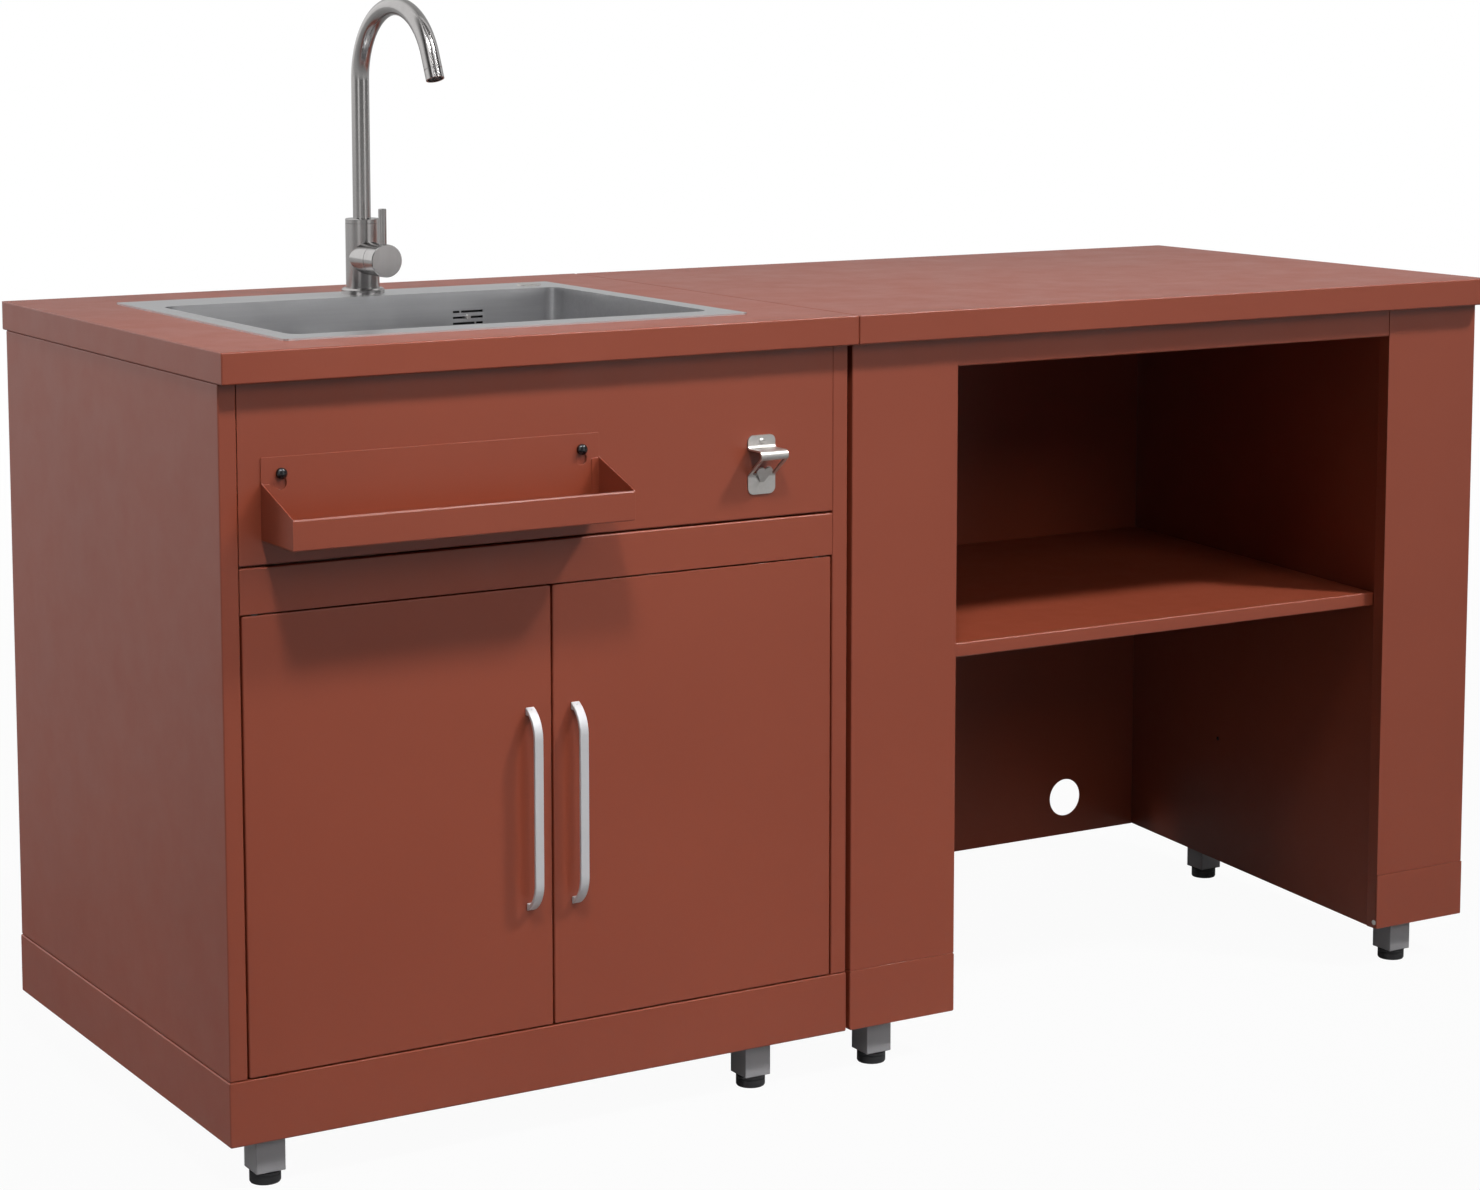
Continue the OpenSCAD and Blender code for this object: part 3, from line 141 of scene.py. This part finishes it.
def math_node(tree, operation, x, y, first, second=0.0):
    made = add_node(tree, "ShaderNodeMath", x, y, operation=operation)
    for socket, value in zip(made.inputs, (first, second)):
        feed(tree, value, socket)
    return made.outputs[0]


def ramp(tree, source, x, y, start, stop, low=0.0, high=1.0, kind="LINEAR"):
    made = add_node(tree, "ShaderNodeMapRange", x, y, interpolation_type=kind)
    ends = (("From Min", start), ("From Max", stop), ("To Min", low), ("To Max", high))
    for label, value in ends:
        feed(tree, value, made.inputs[label])
    join(tree, source, made.inputs["Value"])
    return made.outputs["Result"]


def noise(tree, vector, x, y, scale, detail, roughness=0.5):
    made = add_node(tree, "ShaderNodeTexNoise", x, y)
    made.inputs["Detail"].default_value = detail
    made.inputs["Roughness"].default_value = roughness
    join(tree, vector, made.inputs["Vector"])
    feed(tree, scale, made.inputs["Scale"])
    return made.outputs["Fac"]


# %% [markdown]
# ## Effects that several finishes share
#
# Powder coat, brushed steel and moulded plastic look different, but they are built from
# a few common effects. Each effect is a node group, made once: a fine grain for the
# orange-peel skin of a coating, soft clouds for uneven tone and gloss, and brush lines
# for metal that was polished with a belt. A group only puts out masks and heights, and
# the material decides what to do with them.

# %% A group with named sockets
VECTOR, FLOAT = "NodeSocketVector", "NodeSocketFloat"


def new_group(name, inputs, outputs):
    group = bpy.data.node_groups.new(name, "ShaderNodeTree")
    for label, kind, value in inputs:
        socket = group.interface.new_socket(label, in_out="INPUT", socket_type=kind)
        if value is not None:
            socket.default_value = value
    for label in outputs:
        group.interface.new_socket(label, in_out="OUTPUT", socket_type=FLOAT)
    start = add_node(group, "NodeGroupInput", -800, 0)
    end = add_node(group, "NodeGroupOutput", 600, 0)
    return group, start.outputs, end.inputs


# %% Fine grain: the skin of a coating or a moulding
FLAKES_PER_GRAIN, FLAKE_HEIGHT = 3.1, 0.25

grain, grain_in, grain_out = new_group(
    "fine_grain", [("Vector", VECTOR, None), ("Size", FLOAT, 0.001)], ["Height", "Speckle"])
grain_scale = math_node(grain, "DIVIDE", -600, -120, 1.0, grain_in["Size"])
flake_scale = math_node(grain, "MULTIPLY", -600, -280, grain_scale, FLAKES_PER_GRAIN)
peel = noise(grain, grain_in["Vector"], -380, 80, grain_scale, 2.0)
flake = noise(grain, grain_in["Vector"], -380, -220, flake_scale, 0.0)
small = math_node(grain, "MULTIPLY", -140, -120, flake, FLAKE_HEIGHT)
join(grain, math_node(grain, "ADD", 60, 60, peel, small), grain_out["Height"])
join(grain, ramp(grain, flake, 60, -220, 0.35, 0.75), grain_out["Speckle"])

# %% Soft clouds: uneven tone and gloss over a hand's width
clouds, clouds_in, clouds_out = new_group(
    "soft_clouds",
    [("Vector", VECTOR, None), ("Size", FLOAT, 0.2), ("Low", FLOAT, 0.0), ("High", FLOAT, 1.0)],
    ["Value"])
cloud_scale = math_node(clouds, "DIVIDE", -600, -120, 1.0, clouds_in["Size"])
cloud = noise(clouds, clouds_in["Vector"], -380, 60, cloud_scale, 4.0, 0.6)
evened = ramp(clouds, cloud, -120, 0, 0.3, 0.7, clouds_in["Low"], clouds_in["High"])
join(clouds, evened, clouds_out["Value"])

# %% Brush lines: long fine scratches that all run one way
WIDE_LINES_PER_LINE, LINE_SHARE, WIDE_SHARE = 0.17, 0.4, 0.6

brush, brush_in, brush_out = new_group(
    "brush_lines", [("Vector", VECTOR, None), ("Spacing", FLOAT, 0.0004)], ["Height", "Streak"])
line_scale = math_node(brush, "DIVIDE", -600, -120, 1.0, brush_in["Spacing"])
wide_scale = math_node(brush, "MULTIPLY", -600, -280, line_scale, WIDE_LINES_PER_LINE)
line = noise(brush, brush_in["Vector"], -380, 80, line_scale, 3.0, 0.7)
wide = noise(brush, brush_in["Vector"], -380, -220, wide_scale, 1.0)
fine_streak = math_node(brush, "MULTIPLY", -140, 40, line, LINE_SHARE)
wide_streak = math_node(brush, "MULTIPLY", -140, -120, wide, WIDE_SHARE)
join(brush, line, brush_out["Height"])
join(brush, math_node(brush, "ADD", 60, -60, fine_streak, wide_streak), brush_out["Streak"])
print("Shared effects:", [g.name for g in bpy.data.node_groups])

# %% [markdown]
# ## Start of every material
#
# Each finish starts from the same few nodes: the piece's own coordinates in metres, so
# that a grain of half a millimetre is the same size on a door and on a screw, and one
# Principled shader. Values that are the same all over a surface go straight on the
# shader's sockets.

# %% A material with object coordinates and one Principled shader
def new_material(name, **values):
    material = bpy.data.materials.new(name)
    material.use_nodes = True
    tree = material.node_tree
    shader = tree.nodes["Principled BSDF"]
    for label, value in values.items():
        shader.inputs[label.replace("_", " ")].default_value = value
    place = add_node(tree, "ShaderNodeTexCoord", -1200, 0).outputs["Object"]
    return material, tree, shader, place


def use_group(tree, group, x, y, vector, **values):
    made = add_node(tree, "ShaderNodeGroup", x, y, node_tree=group)
    join(tree, vector, made.inputs["Vector"])
    for label, value in values.items():
        made.inputs[label].default_value = value
    return made.outputs


def stretched(tree, vector, x, y, scale):
    mapping = add_node(tree, "ShaderNodeMapping", x, y)
    mapping.inputs["Scale"].default_value = scale
    join(tree, vector, mapping.inputs["Vector"])
    return mapping.outputs["Vector"]


def add_bump(tree, shader, height, strength, distance):
    bump = add_node(tree, "ShaderNodeBump", -260, -420)
    bump.inputs["Strength"].default_value = strength
    bump.inputs["Distance"].default_value = distance
    join(tree, height, bump.inputs["Height"])
    join(tree, bump.outputs["Normal"], shader.inputs["Normal"])


def two_tone(tree, shader, mask, dark, light):
    mix = add_node(tree, "ShaderNodeMix", -260, 160, data_type="RGBA")
    mix.inputs["A"].default_value = (*dark, 1)
    mix.inputs["B"].default_value = (*light, 1)
    join(tree, mask, mix.inputs["Factor"])
    join(tree, mix.outputs["Result"], shader.inputs["Base Color"])


# %% [markdown]
# ## Powder coat
#
# The sheet is sprayed with charged powder that melts in an oven. It flows into a matt,
# even skin with a faint orange peel, about a millimetre from bump to bump. The coat is
# never quite even, so its tone and its gloss drift a little over a hand's width.

# %% Powder coat in one colour
COAT_IOR, COAT_PEEL = 1.58, 0.0011
TONE_PATCH, GLOSS_PATCH = 0.35, 0.06
COAT_FLECK, COAT_BUMP = 0.05, 0.12


def powder_coat(name, dark, light, rough, peel_depth):
    material, tree, shader, place = new_material(name, IOR=COAT_IOR)
    tone = use_group(tree, clouds, -760, 240, place, Size=TONE_PATCH)["Value"]
    two_tone(tree, shader, tone, dark, light)
    gloss = use_group(tree, clouds, -760, 0, place, Size=GLOSS_PATCH, Low=rough[0], High=rough[1])
    skin = use_group(tree, grain, -760, -360, place, Size=COAT_PEEL)
    fleck = math_node(tree, "MULTIPLY", -520, -200, skin["Speckle"], COAT_FLECK)
    uneven = math_node(tree, "ADD", -300, -100, gloss["Value"], fleck)
    join(tree, uneven, shader.inputs["Roughness"])
    add_bump(tree, shader, skin["Height"], COAT_BUMP, peel_depth)
    return material


finishes = {}
finishes["red_coat"] = powder_coat(
    "brick_red_coat", (0.224, 0.042, 0.018), (0.242, 0.047, 0.0205),
    rough=(0.36, 0.44), peel_depth=0.0003)
finishes["leg_coat"] = powder_coat(
    "grey_leg_coat", (0.225, 0.22, 0.228), (0.265, 0.26, 0.27),
    rough=(0.3, 0.38), peel_depth=0.0002)
print("Coats:", [finishes[k].name for k in finishes])

# %% [markdown]
# ## Metals
#
# The tap and the sink are brushed stainless steel, the opener is nearly polished, the
# handles are satin aluminium and the screws are zinc plated. All of them are one recipe
# with other numbers: brush lines, drawn out along the axis whose stretch is small, give a
# fine bump and a streaky gloss, and clouds add the dullness that hands leave. The lines
# run up the tap and the handles, and across the sink.

# %% Brushed or polished metal
HAND_PATCH, STREAK_GLOSS, BRUSH_BUMP = 0.05, 0.06, 0.25


def metal(name, dark, light, rough, stretch, spacing, depth, metallic=1.0):
    material, tree, shader, place = new_material(name, Metallic=metallic)
    run = stretched(tree, place, -1000, 0, stretch)
    lines = use_group(tree, brush, -760, -200, run, Spacing=spacing)
    two_tone(tree, shader, lines["Streak"], dark, light)
    hands = use_group(tree, clouds, -760, 60, place, Size=HAND_PATCH, Low=rough[0], High=rough[1])
    streaks = math_node(tree, "MULTIPLY", -520, -60, lines["Streak"], STREAK_GLOSS)
    uneven = math_node(tree, "ADD", -300, -60, hands["Value"], streaks)
    join(tree, uneven, shader.inputs["Roughness"])
    add_bump(tree, shader, lines["Height"], BRUSH_BUMP, depth)
    return material


# %% Stainless steel of the tap, the sink and the opener
finishes["tap_steel"] = metal(
    "brushed_tap_steel", (0.33, 0.32, 0.315), (0.42, 0.41, 0.405),
    rough=(0.15, 0.18), stretch=(1, 1, 0.02), spacing=0.0016, depth=0.0000001)
finishes["bowl_steel"] = metal(
    "brushed_sink_steel", (0.52, 0.52, 0.53), (0.66, 0.66, 0.67),
    rough=(0.26, 0.34), stretch=(0.03, 1, 1), spacing=0.0009, depth=0.000001)
finishes["polished_steel"] = metal(
    "polished_steel", (0.5, 0.48, 0.46), (0.62, 0.6, 0.58),
    rough=(0.34, 0.4), stretch=(1, 0.1, 1), spacing=0.0006, depth=0.000002)

# %% Satin handles, zinc plating and brass
finishes["handle_satin"] = metal(
    "satin_aluminium", (0.56, 0.56, 0.575), (0.64, 0.64, 0.655),
    rough=(0.6, 0.68), stretch=(1, 1, 0.02), spacing=0.0006, depth=0.000005, metallic=0.6)
finishes["zinc"] = metal(
    "zinc_plated_steel", (0.5, 0.51, 0.5), (0.66, 0.67, 0.66),
    rough=(0.28, 0.4), stretch=(1, 1, 1), spacing=0.002, depth=0.00003)
finishes["brass"] = metal(
    "turned_brass", (0.55, 0.37, 0.14), (0.7, 0.48, 0.2),
    rough=(0.24, 0.34), stretch=(1, 1, 0.05), spacing=0.0008, depth=0.00003)
print("Coats and metals:", len(finishes))

# %% [markdown]
# ## Plastics and blackened steel
#
# The pads of the feet, the hinge bushes, the waste trap and the stud heads are moulded
# or blackened. A moulding takes the fine erosion grain of its steel mould, so the same
# grain group serves again, smaller and with a sharper gloss.

# %% Moulded plastic, rubber and blackened steel
MOULD_PATCH, MOULD_BUMP = 0.03, 0.2


def moulded(name, dark, light, rough, size, depth):
    material, tree, shader, place = new_material(name)
    skin = use_group(tree, grain, -760, -360, place, Size=size)
    two_tone(tree, shader, skin["Speckle"], dark, light)
    gloss = use_group(tree, clouds, -760, 0, place, Size=MOULD_PATCH, Low=rough[0], High=rough[1])
    join(tree, gloss["Value"], shader.inputs["Roughness"])
    add_bump(tree, shader, skin["Height"], MOULD_BUMP, depth)
    return material


finishes["foot_black"] = moulded(
    "black_foot_rubber", (0.008, 0.008, 0.009), (0.016, 0.016, 0.018),
    rough=(0.45, 0.6), size=0.0009, depth=0.0002)
finishes["black_nylon"] = moulded(
    "black_nylon", (0.012, 0.012, 0.013), (0.02, 0.02, 0.022),
    rough=(0.4, 0.5), size=0.0006, depth=0.0001)
finishes["white_plastic"] = moulded(
    "white_plastic", (0.66, 0.66, 0.64), (0.74, 0.74, 0.72),
    rough=(0.28, 0.36), size=0.0008, depth=0.0001)
finishes["black_steel"] = moulded(
    "blackened_steel", (0.006, 0.006, 0.007), (0.011, 0.011, 0.012),
    rough=(0.16, 0.26), size=0.0007, depth=0.00008)
print("Finishes:", len(finishes))

# %% [markdown]
# ## From CAD node to dressed piece
#
# A CAD node comes in as loose triangles that may not be changed. A piece that needs
# softer edges is therefore a copy: its points are merged, its flat faces are joined into
# single polygons, and from then on it can be shaped like any other mesh. The copy rides
# on the same body as its node and stands for it.

# %% Copy, merge and clean a CAD node
SAME_POINT = 0.000002
FLAT_ANGLE = math.radians(0.4)


def dress(piece, slot):
    piece.data.materials.clear()
    piece.data.materials.append(finishes[slot])


def merged_copy(node, ending):
    only(nodes[node])
    bpy.ops.object.duplicate()
    piece = bpy.context.view_layer.objects.active
    piece.name = piece.data.name = node + "_" + ending
    del piece["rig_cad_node"]
    open_mesh(piece, "VERT")
    bpy.ops.mesh.select_all(action="SELECT")
    bpy.ops.mesh.remove_doubles(threshold=SAME_POINT)
    bpy.ops.mesh.dissolve_limited(angle_limit=FLAT_ANGLE)
    close_mesh()
    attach(piece, body_of[node])
    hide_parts(node)
    dress(piece, slot_of[node])
    return piece


# %% Shade round forms smooth and keep flat faces flat
def soft_shading(piece, angle=35):
    only(piece)
    bpy.ops.object.shade_smooth_by_angle(angle=math.radians(angle))
    apply_modifier(piece, "WEIGHTED_NORMAL", keep_sharp=True, weight=60)


def break_edges(piece, width, segments, angle):
    apply_modifier(piece, "BEVEL", width=width, segments=segments, limit_method="ANGLE",
                   angle_limit=math.radians(angle), use_clamp_overlap=False)
    soft_shading(piece)


# %% [markdown]
# ## Folded sheet
#
# A press brake bends the sheet over a die, which leaves a radius of about one and a half
# sheet thicknesses on the outside of each fold. The cut edges stay crisp, with only the
# coating to soften them. A fold is found by its shape: it is an outward edge between two
# faces that are both much wider than the sheet is thick.

# %% Measure how wide a face is beside one of its edges
NEARLY_ZERO, END_SLACK = 0.00005, 0.0005


def room_beside(edge, face):
    loop = next(l for l in face.loops if l.edge == edge)
    start, end = loop.vert.co, loop.link_loop_next.vert.co
    length = (end - start).length
    along = (end - start).normalized()
    inward = face.normal.cross(along)
    across, beside = [], []
    for other in face.edges:
        if other == edge:
            continue
        a, b = (v.co - start for v in other.verts)
        u0, u1 = a.dot(along) - length / 2, b.dot(along) - length / 2
        if u0 * u1 < 0 or (u0 == 0) != (u1 == 0):
            w = a.dot(inward) + (b.dot(inward) - a.dot(inward)) * u0 / (u0 - u1)
            if w > NEARLY_ZERO:
                across.append(w)
    for vert in face.verts:
        offset = vert.co - start
        if vert not in edge.verts and -END_SLACK < offset.dot(along) < length + END_SLACK:
            beside.append(offset.dot(inward))
    return min(across, default=0.0), min(beside, default=1.0)


# %% Find the outer folds of a sheet piece
FOLD_TURN, FOLD_FACE, FOLD_ROOM = 1.2, 0.005, 1.3


def pick_folds(piece, radius):
    mesh = bmesh.from_edit_mesh(piece.data)
    count = 0
    for edge in mesh.edges:
        fold = len(edge.link_faces) == 2 and edge.is_convex
        fold = fold and edge.calc_face_angle() > FOLD_TURN
        for face in edge.link_faces:
            across, beside = room_beside(edge, face) if fold else (0.0, 0.0)
            fold = fold and across > FOLD_FACE and beside > FOLD_ROOM * radius
        edge.select_set(fold)
        count += fold
    bmesh.update_edit_mesh(piece.data)
    return count


# %% Round the folds and soften the cut edges
FOLD_RADIUS, CUT_EDGE = 0.002, 0.00035


def folded(node):
    piece = merged_copy(node, "folded")
    open_mesh(piece, "EDGE")
    count = pick_folds(piece, FOLD_RADIUS)
    if count:
        bpy.ops.mesh.bevel(offset=FOLD_RADIUS, segments=3, affect="EDGES", clamp_overlap=False)
    close_mesh()
    break_edges(piece, CUT_EDGE, 2, 50)
    return piece, count


sheet_nodes = [n for n in nodes if slot_of[n] == "red_coat"]
for name in sheet_nodes:
    piece, folds = folded(name)
    print(f"{piece.name}: {folds} folds, {len(piece.data.polygons)} faces")

# %% [markdown]
# ## Legs, handles and other rigid parts
#
# The remaining parts are bars, turned parts and mouldings. Their shapes are right, and
# what they lack is the small break on every edge that catches the light. The legs are
# square tubes with drawn corners, the handles are flat strips with softened edges. The
# pressed bowl, the opener and the tap's spout have round forms all over, so they keep
# their shape and only get an even shading that hides the facets of the CAD mesh.

# %% Break the edges of the bars
LEG_CORNER, HANDLE_EDGE = 0.0012, 0.001

for name in ("sink_legs", "table_legs"):
    break_edges(merged_copy(name, "softened"), LEG_CORNER, 3, 50)
for name in ("handle_left", "handle_right"):
    break_edges(merged_copy(name, "softened"), HANDLE_EDGE, 3, 60)
for name in ("bottle_opener", "sink_bowl", "tap_spout"):
    soft_shading(merged_copy(name, "smooth"), 30)
print("Bars with broken edges: 4, round forms: 3")

# %% [markdown]
# ## White plugs and a small screw in the open bay
#
# A white plug closes a hole low in each pilaster's return, and one small screw sits on
# the right inner wall. Each head is round: it starts as a thin disc with its back in the
# sheet, and its face is inset and pushed out twice, which makes a low dome. The inset and
# the push are shares of the head's radius and height.

# %% Round heads on the sheet
DOME_STEPS = ((0.24, 0.4), (0.3, 0.2))


def round_head(name, place, facing, radius, height, slot):
    facing = Vector(facing).normalized()
    bpy.ops.object.select_all(action="DESELECT")
    bpy.ops.mesh.primitive_cylinder_add(
        vertices=32, radius=radius, depth=height, location=place,
        rotation=facing.to_track_quat("Z", "Y").to_euler())
    head = bpy.context.active_object
    head.name = head.data.name = name
    bpy.ops.object.transform_apply(location=True, rotation=True, scale=True)
    open_mesh(head)
    pick_faces(head, lambda centre, normal: normal.dot(facing) > 0.9)
    for inward, outward in DOME_STEPS:
        bpy.ops.mesh.inset(thickness=inward * radius)
        bpy.ops.transform.translate(value=facing * outward * height)
    close_mesh()
    soft_shading(head, 50)
    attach(head, "cabinet")
    dress(head, slot)
    print(head.name, "faces:", len(head.data.polygons))


# %% Two plugs and one screw
PLUG_RADIUS, PLUG_HEIGHT = 0.0035, 0.0012
PLUG_Y, PLUG_Z = -0.2933, 0.063
SCREW_RADIUS, SCREW_HEIGHT = 0.0028, 0.0014

round_head("return_plug_right", (0.7454, PLUG_Y, PLUG_Z), (-1, 0, 0),
           PLUG_RADIUS, PLUG_HEIGHT, "white_plastic")
round_head("return_plug_left", (0.0552, PLUG_Y, PLUG_Z), (1, 0, 0),
           PLUG_RADIUS, PLUG_HEIGHT, "white_plastic")
round_head("wall_screw", (0.7929, 0.0945, 0.234), (-0.9925, 0.1219, 0),
           SCREW_RADIUS, SCREW_HEIGHT, "black_steel")

# %% [markdown]
# ## The pieces that stay as they are
#
# Screws, feet, catches and the other small parts of the CAD model are right as they
# come. They keep their meshes, and each only gets the finish that the record gives it.

# %% Give every node that is still shown its finish
shown = [n for n, o in nodes.items() if not o.hide_render]
for name in shown:
    dress(nodes[name], slot_of[name])
print("CAD nodes carried over:", len(shown))

# %% [markdown]
# ## Camera
#
# The camera stands in front and to the left at eye level, as in the photograph, and
# looks a little down. Shifting the lens keeps the uprights nearly parallel. Its two
# angles are in radians: the turn to the right of straight ahead, and the tilt down.

# %% Camera at the photograph's viewing angle
CAMERA_AT = (-2.2169, -3.5332, 1.2916)
YAW, DOWN = 0.5457, 0.117
LENS_MM, SENSOR_MM, LENS_SHIFT = 80.139, 36.0, -0.14

camera_data = bpy.data.cameras.new("product_camera")
camera_data.lens = LENS_MM
camera_data.sensor_width = SENSOR_MM
camera_data.shift_y = LENS_SHIFT
camera_data.clip_end = 200.0
camera = bpy.data.objects.new("product_camera", camera_data)
bpy.context.scene.collection.objects.link(camera)
camera.location = CAMERA_AT
level = math.cos(DOWN)
ahead = Vector((math.sin(YAW) * level, math.cos(YAW) * level, -math.sin(DOWN)))
camera.rotation_euler = ahead.to_track_quat("-Z", "Y").to_euler()
bpy.context.scene.camera = camera
print("Camera at", CAMERA_AT, "lens", LENS_MM, "mm")

# %% [markdown]
# ## Floor
#
# The object stands on a plain pale floor. It throws soft light back up at the fronts and
# the legs, as a studio's floor does, and it shows white to the camera with the object's
# shadow left in it. To do both, its material mixes a matt grey with a plain white glow,
# and the kind of ray decides the share of each. Far from the object the glow's share
# rises, so that the floor runs into the white room without a line.

# %% A large plane that belongs to the stage
FLOOR_SIZE, FLOOR_GREY = 60.0, 0.35

bpy.ops.object.select_all(action="DESELECT")
bpy.ops.mesh.primitive_plane_add(size=FLOOR_SIZE, location=(0, 0, 0))
floor = bpy.context.active_object
floor.name = "floor"
paper = bpy.data.materials.new("pale_floor")
paper.use_nodes = True
tree = paper.node_tree
tree.nodes.clear()
floor.data.materials.append(paper)

# %% The share of glow, by kind of ray and by distance
NEAR, FAR = 1.0, 6.0
SEEN_NEAR, SEEN_FAR = 0.955, 1.0
SHINE_NEAR, SHINE_FAR = 0.03, 0.6

path = add_node(tree, "ShaderNodeLightPath", -700, 200).outputs
spot = add_node(tree, "ShaderNodeTexCoord", -1100, 480).outputs["Object"]
reach = add_node(tree, "ShaderNodeVectorMath", -900, 480, operation="LENGTH")
join(tree, spot, reach.inputs[0])
whiter = ramp(tree, reach.outputs["Value"], -700, 480, NEAR, FAR, SEEN_NEAR, SEEN_FAR)
dimmer = ramp(tree, reach.outputs["Value"], -700, 60, NEAR, FAR, SHINE_NEAR, SHINE_FAR)
direct = math_node(tree, "MAXIMUM", -450, 240, path["Is Camera Ray"], path["Is Transmission Ray"])
seen = math_node(tree, "MULTIPLY", -250, 240, direct, whiter)
shine = math_node(tree, "MULTIPLY", -250, 60, path["Is Glossy Ray"], dimmer)
share = math_node(tree, "ADD", -60, 240, seen, shine)

# %% Matt grey and white glow in that share
lit = add_node(tree, "ShaderNodeBsdfDiffuse", 0, -120)
lit.inputs["Color"].default_value = (FLOOR_GREY, FLOOR_GREY, FLOOR_GREY, 1)
glow = add_node(tree, "ShaderNodeEmission", 0, 80)
glow.inputs["Strength"].default_value = 1.0
blend = add_node(tree, "ShaderNodeMixShader", 300, 0)
end = add_node(tree, "ShaderNodeOutputMaterial", 600, 0)
join(tree, share, blend.inputs[0])
join(tree, lit.outputs["BSDF"], blend.inputs[1])
join(tree, glow.outputs["Emission"], blend.inputs[2])
join(tree, blend.outputs["Shader"], end.inputs["Surface"])
print("Floor:", FLOOR_SIZE, "m square")

# %% [markdown]
# ## Light
#
# Two soft boxes hang high in front of the object, one to the left and one to the right.
# Each has a grid over it, which keeps its light in a cone: the left one lights the sink
# cabinet and the right one the table, so that their shadows cross only under the rack.
# A larger box in front fills their shadows, and another one behind to the left lifts the
# left side and the back. These two are wide and open, and shiny parts don't mirror them.

# %% Four soft boxes
def soft_box(name, place, aim, size, spread, watts, mirrored=True):
    data = bpy.data.lights.new(name, "AREA")
    data.shape = "SQUARE"
    data.size = size
    data.spread = math.radians(spread)
    data.energy = watts
    lamp = bpy.data.objects.new(name, data)
    bpy.context.scene.collection.objects.link(lamp)
    lamp.location = place
    lamp.rotation_euler = (Vector(aim) - Vector(place)).to_track_quat("-Z", "Y").to_euler()
    lamp.visible_camera = False
    lamp.visible_glossy = mirrored
    print(name, "watts:", watts)


soft_box("soft_box_left", place=(-1.49, -2.24, 4.06), aim=(-0.7, -0.3, 0.75),
         size=0.5, spread=36, watts=4.6)
soft_box("soft_box_right", place=(2.9, -3.0, 5.5), aim=(0.6, -0.3, 0.8),
         size=0.7, spread=42, watts=20)
soft_box("soft_box_front", place=(0.7, -5.2, 3.4), aim=(0.0, -0.3, 0.6),
         size=2.0, spread=120, watts=36, mirrored=False)
soft_box("soft_box_side", place=(-3.2, 3.2, 1.9), aim=(-0.9, 0.1, 0.6),
         size=2.4, spread=120, watts=44, mirrored=False)

# %% [markdown]
# ## Room
#
# The camera and clear parts see a white room. Shiny surfaces mirror a studio instead:
# pale walls behind the object, brighter on the left than on the right, and a dim room
# with upright light strips on the camera's side. That gives the tops their pale sheen,
# keeps the fronts deep and draws the tall light and dark lines in the round tap. The
# light that falls on matt surfaces is weak and even, so the soft boxes set the shadows.

# %% An empty world and its directions
world = bpy.data.worlds.new("white_room")
bpy.context.scene.world = world
world.use_nodes = True
tree = world.node_tree
tree.nodes.clear()
path = add_node(tree, "ShaderNodeLightPath", -500, 300).outputs
where = add_node(tree, "ShaderNodeTexCoord", -1100, -100).outputs["Generated"]
axes = add_node(tree, "ShaderNodeSeparateXYZ", -900, -100)
join(tree, where, axes.inputs[0])
to_right, to_back = axes.outputs["X"], axes.outputs["Y"]


def blend_values(x, y, share, first, second):
    mix = add_node(tree, "ShaderNodeMix", x, y)
    join(tree, share, mix.inputs["Factor"])
    feed(tree, first, mix.inputs["A"])
    feed(tree, second, mix.inputs["B"])
    return mix.outputs["Result"]


# %% Pale walls behind, light strips in front
STRIPS, STRIP_PHASE = 5, 0.6
DIM_ROOM, STRIP_LIGHT = 0.06, 1.9
LEFT_WALL, RIGHT_WALL = 1.3, 0.55

behind = ramp(tree, to_back, -700, 0, -0.2, 0.4, kind="SMOOTHSTEP")
wall = ramp(tree, to_right, -700, -260, -0.25, 0.25, LEFT_WALL, RIGHT_WALL, "SMOOTHSTEP")
turn = math_node(tree, "ARCTAN2", -1100, 320, to_right, to_back)
turns = math_node(tree, "MULTIPLY", -1100, 480, turn, STRIPS)
wave = math_node(tree, "SINE", -900, 320, math_node(tree, "ADD", -900, 480, turns, STRIP_PHASE))
strips = ramp(tree, wave, -700, 260, 0.4, 0.95, DIM_ROOM, STRIP_LIGHT, "SMOOTHSTEP")
mirrored = blend_values(-400, -100, behind, strips, wall)

# %% What each kind of ray gets
MATT_LIGHT, CAMERA_WHITE = 0.15, 1.0

room = blend_values(-100, 0, path["Is Glossy Ray"], MATT_LIGHT, mirrored)
plain = math_node(tree, "MAXIMUM", -100, 300, path["Is Camera Ray"], path["Is Transmission Ray"])
sky = add_node(tree, "ShaderNodeBackground", 700, 0)
sky.inputs["Color"].default_value = (1, 1, 1, 1)
end = add_node(tree, "ShaderNodeOutputWorld", 900, 0)
join(tree, blend_values(300, 100, plain, room, CAMERA_WHITE), sky.inputs["Strength"])
join(tree, sky.outputs["Background"], end.inputs["Surface"])
bpy.context.scene.view_settings.view_transform = "Standard"
print("Light strips:", STRIPS)
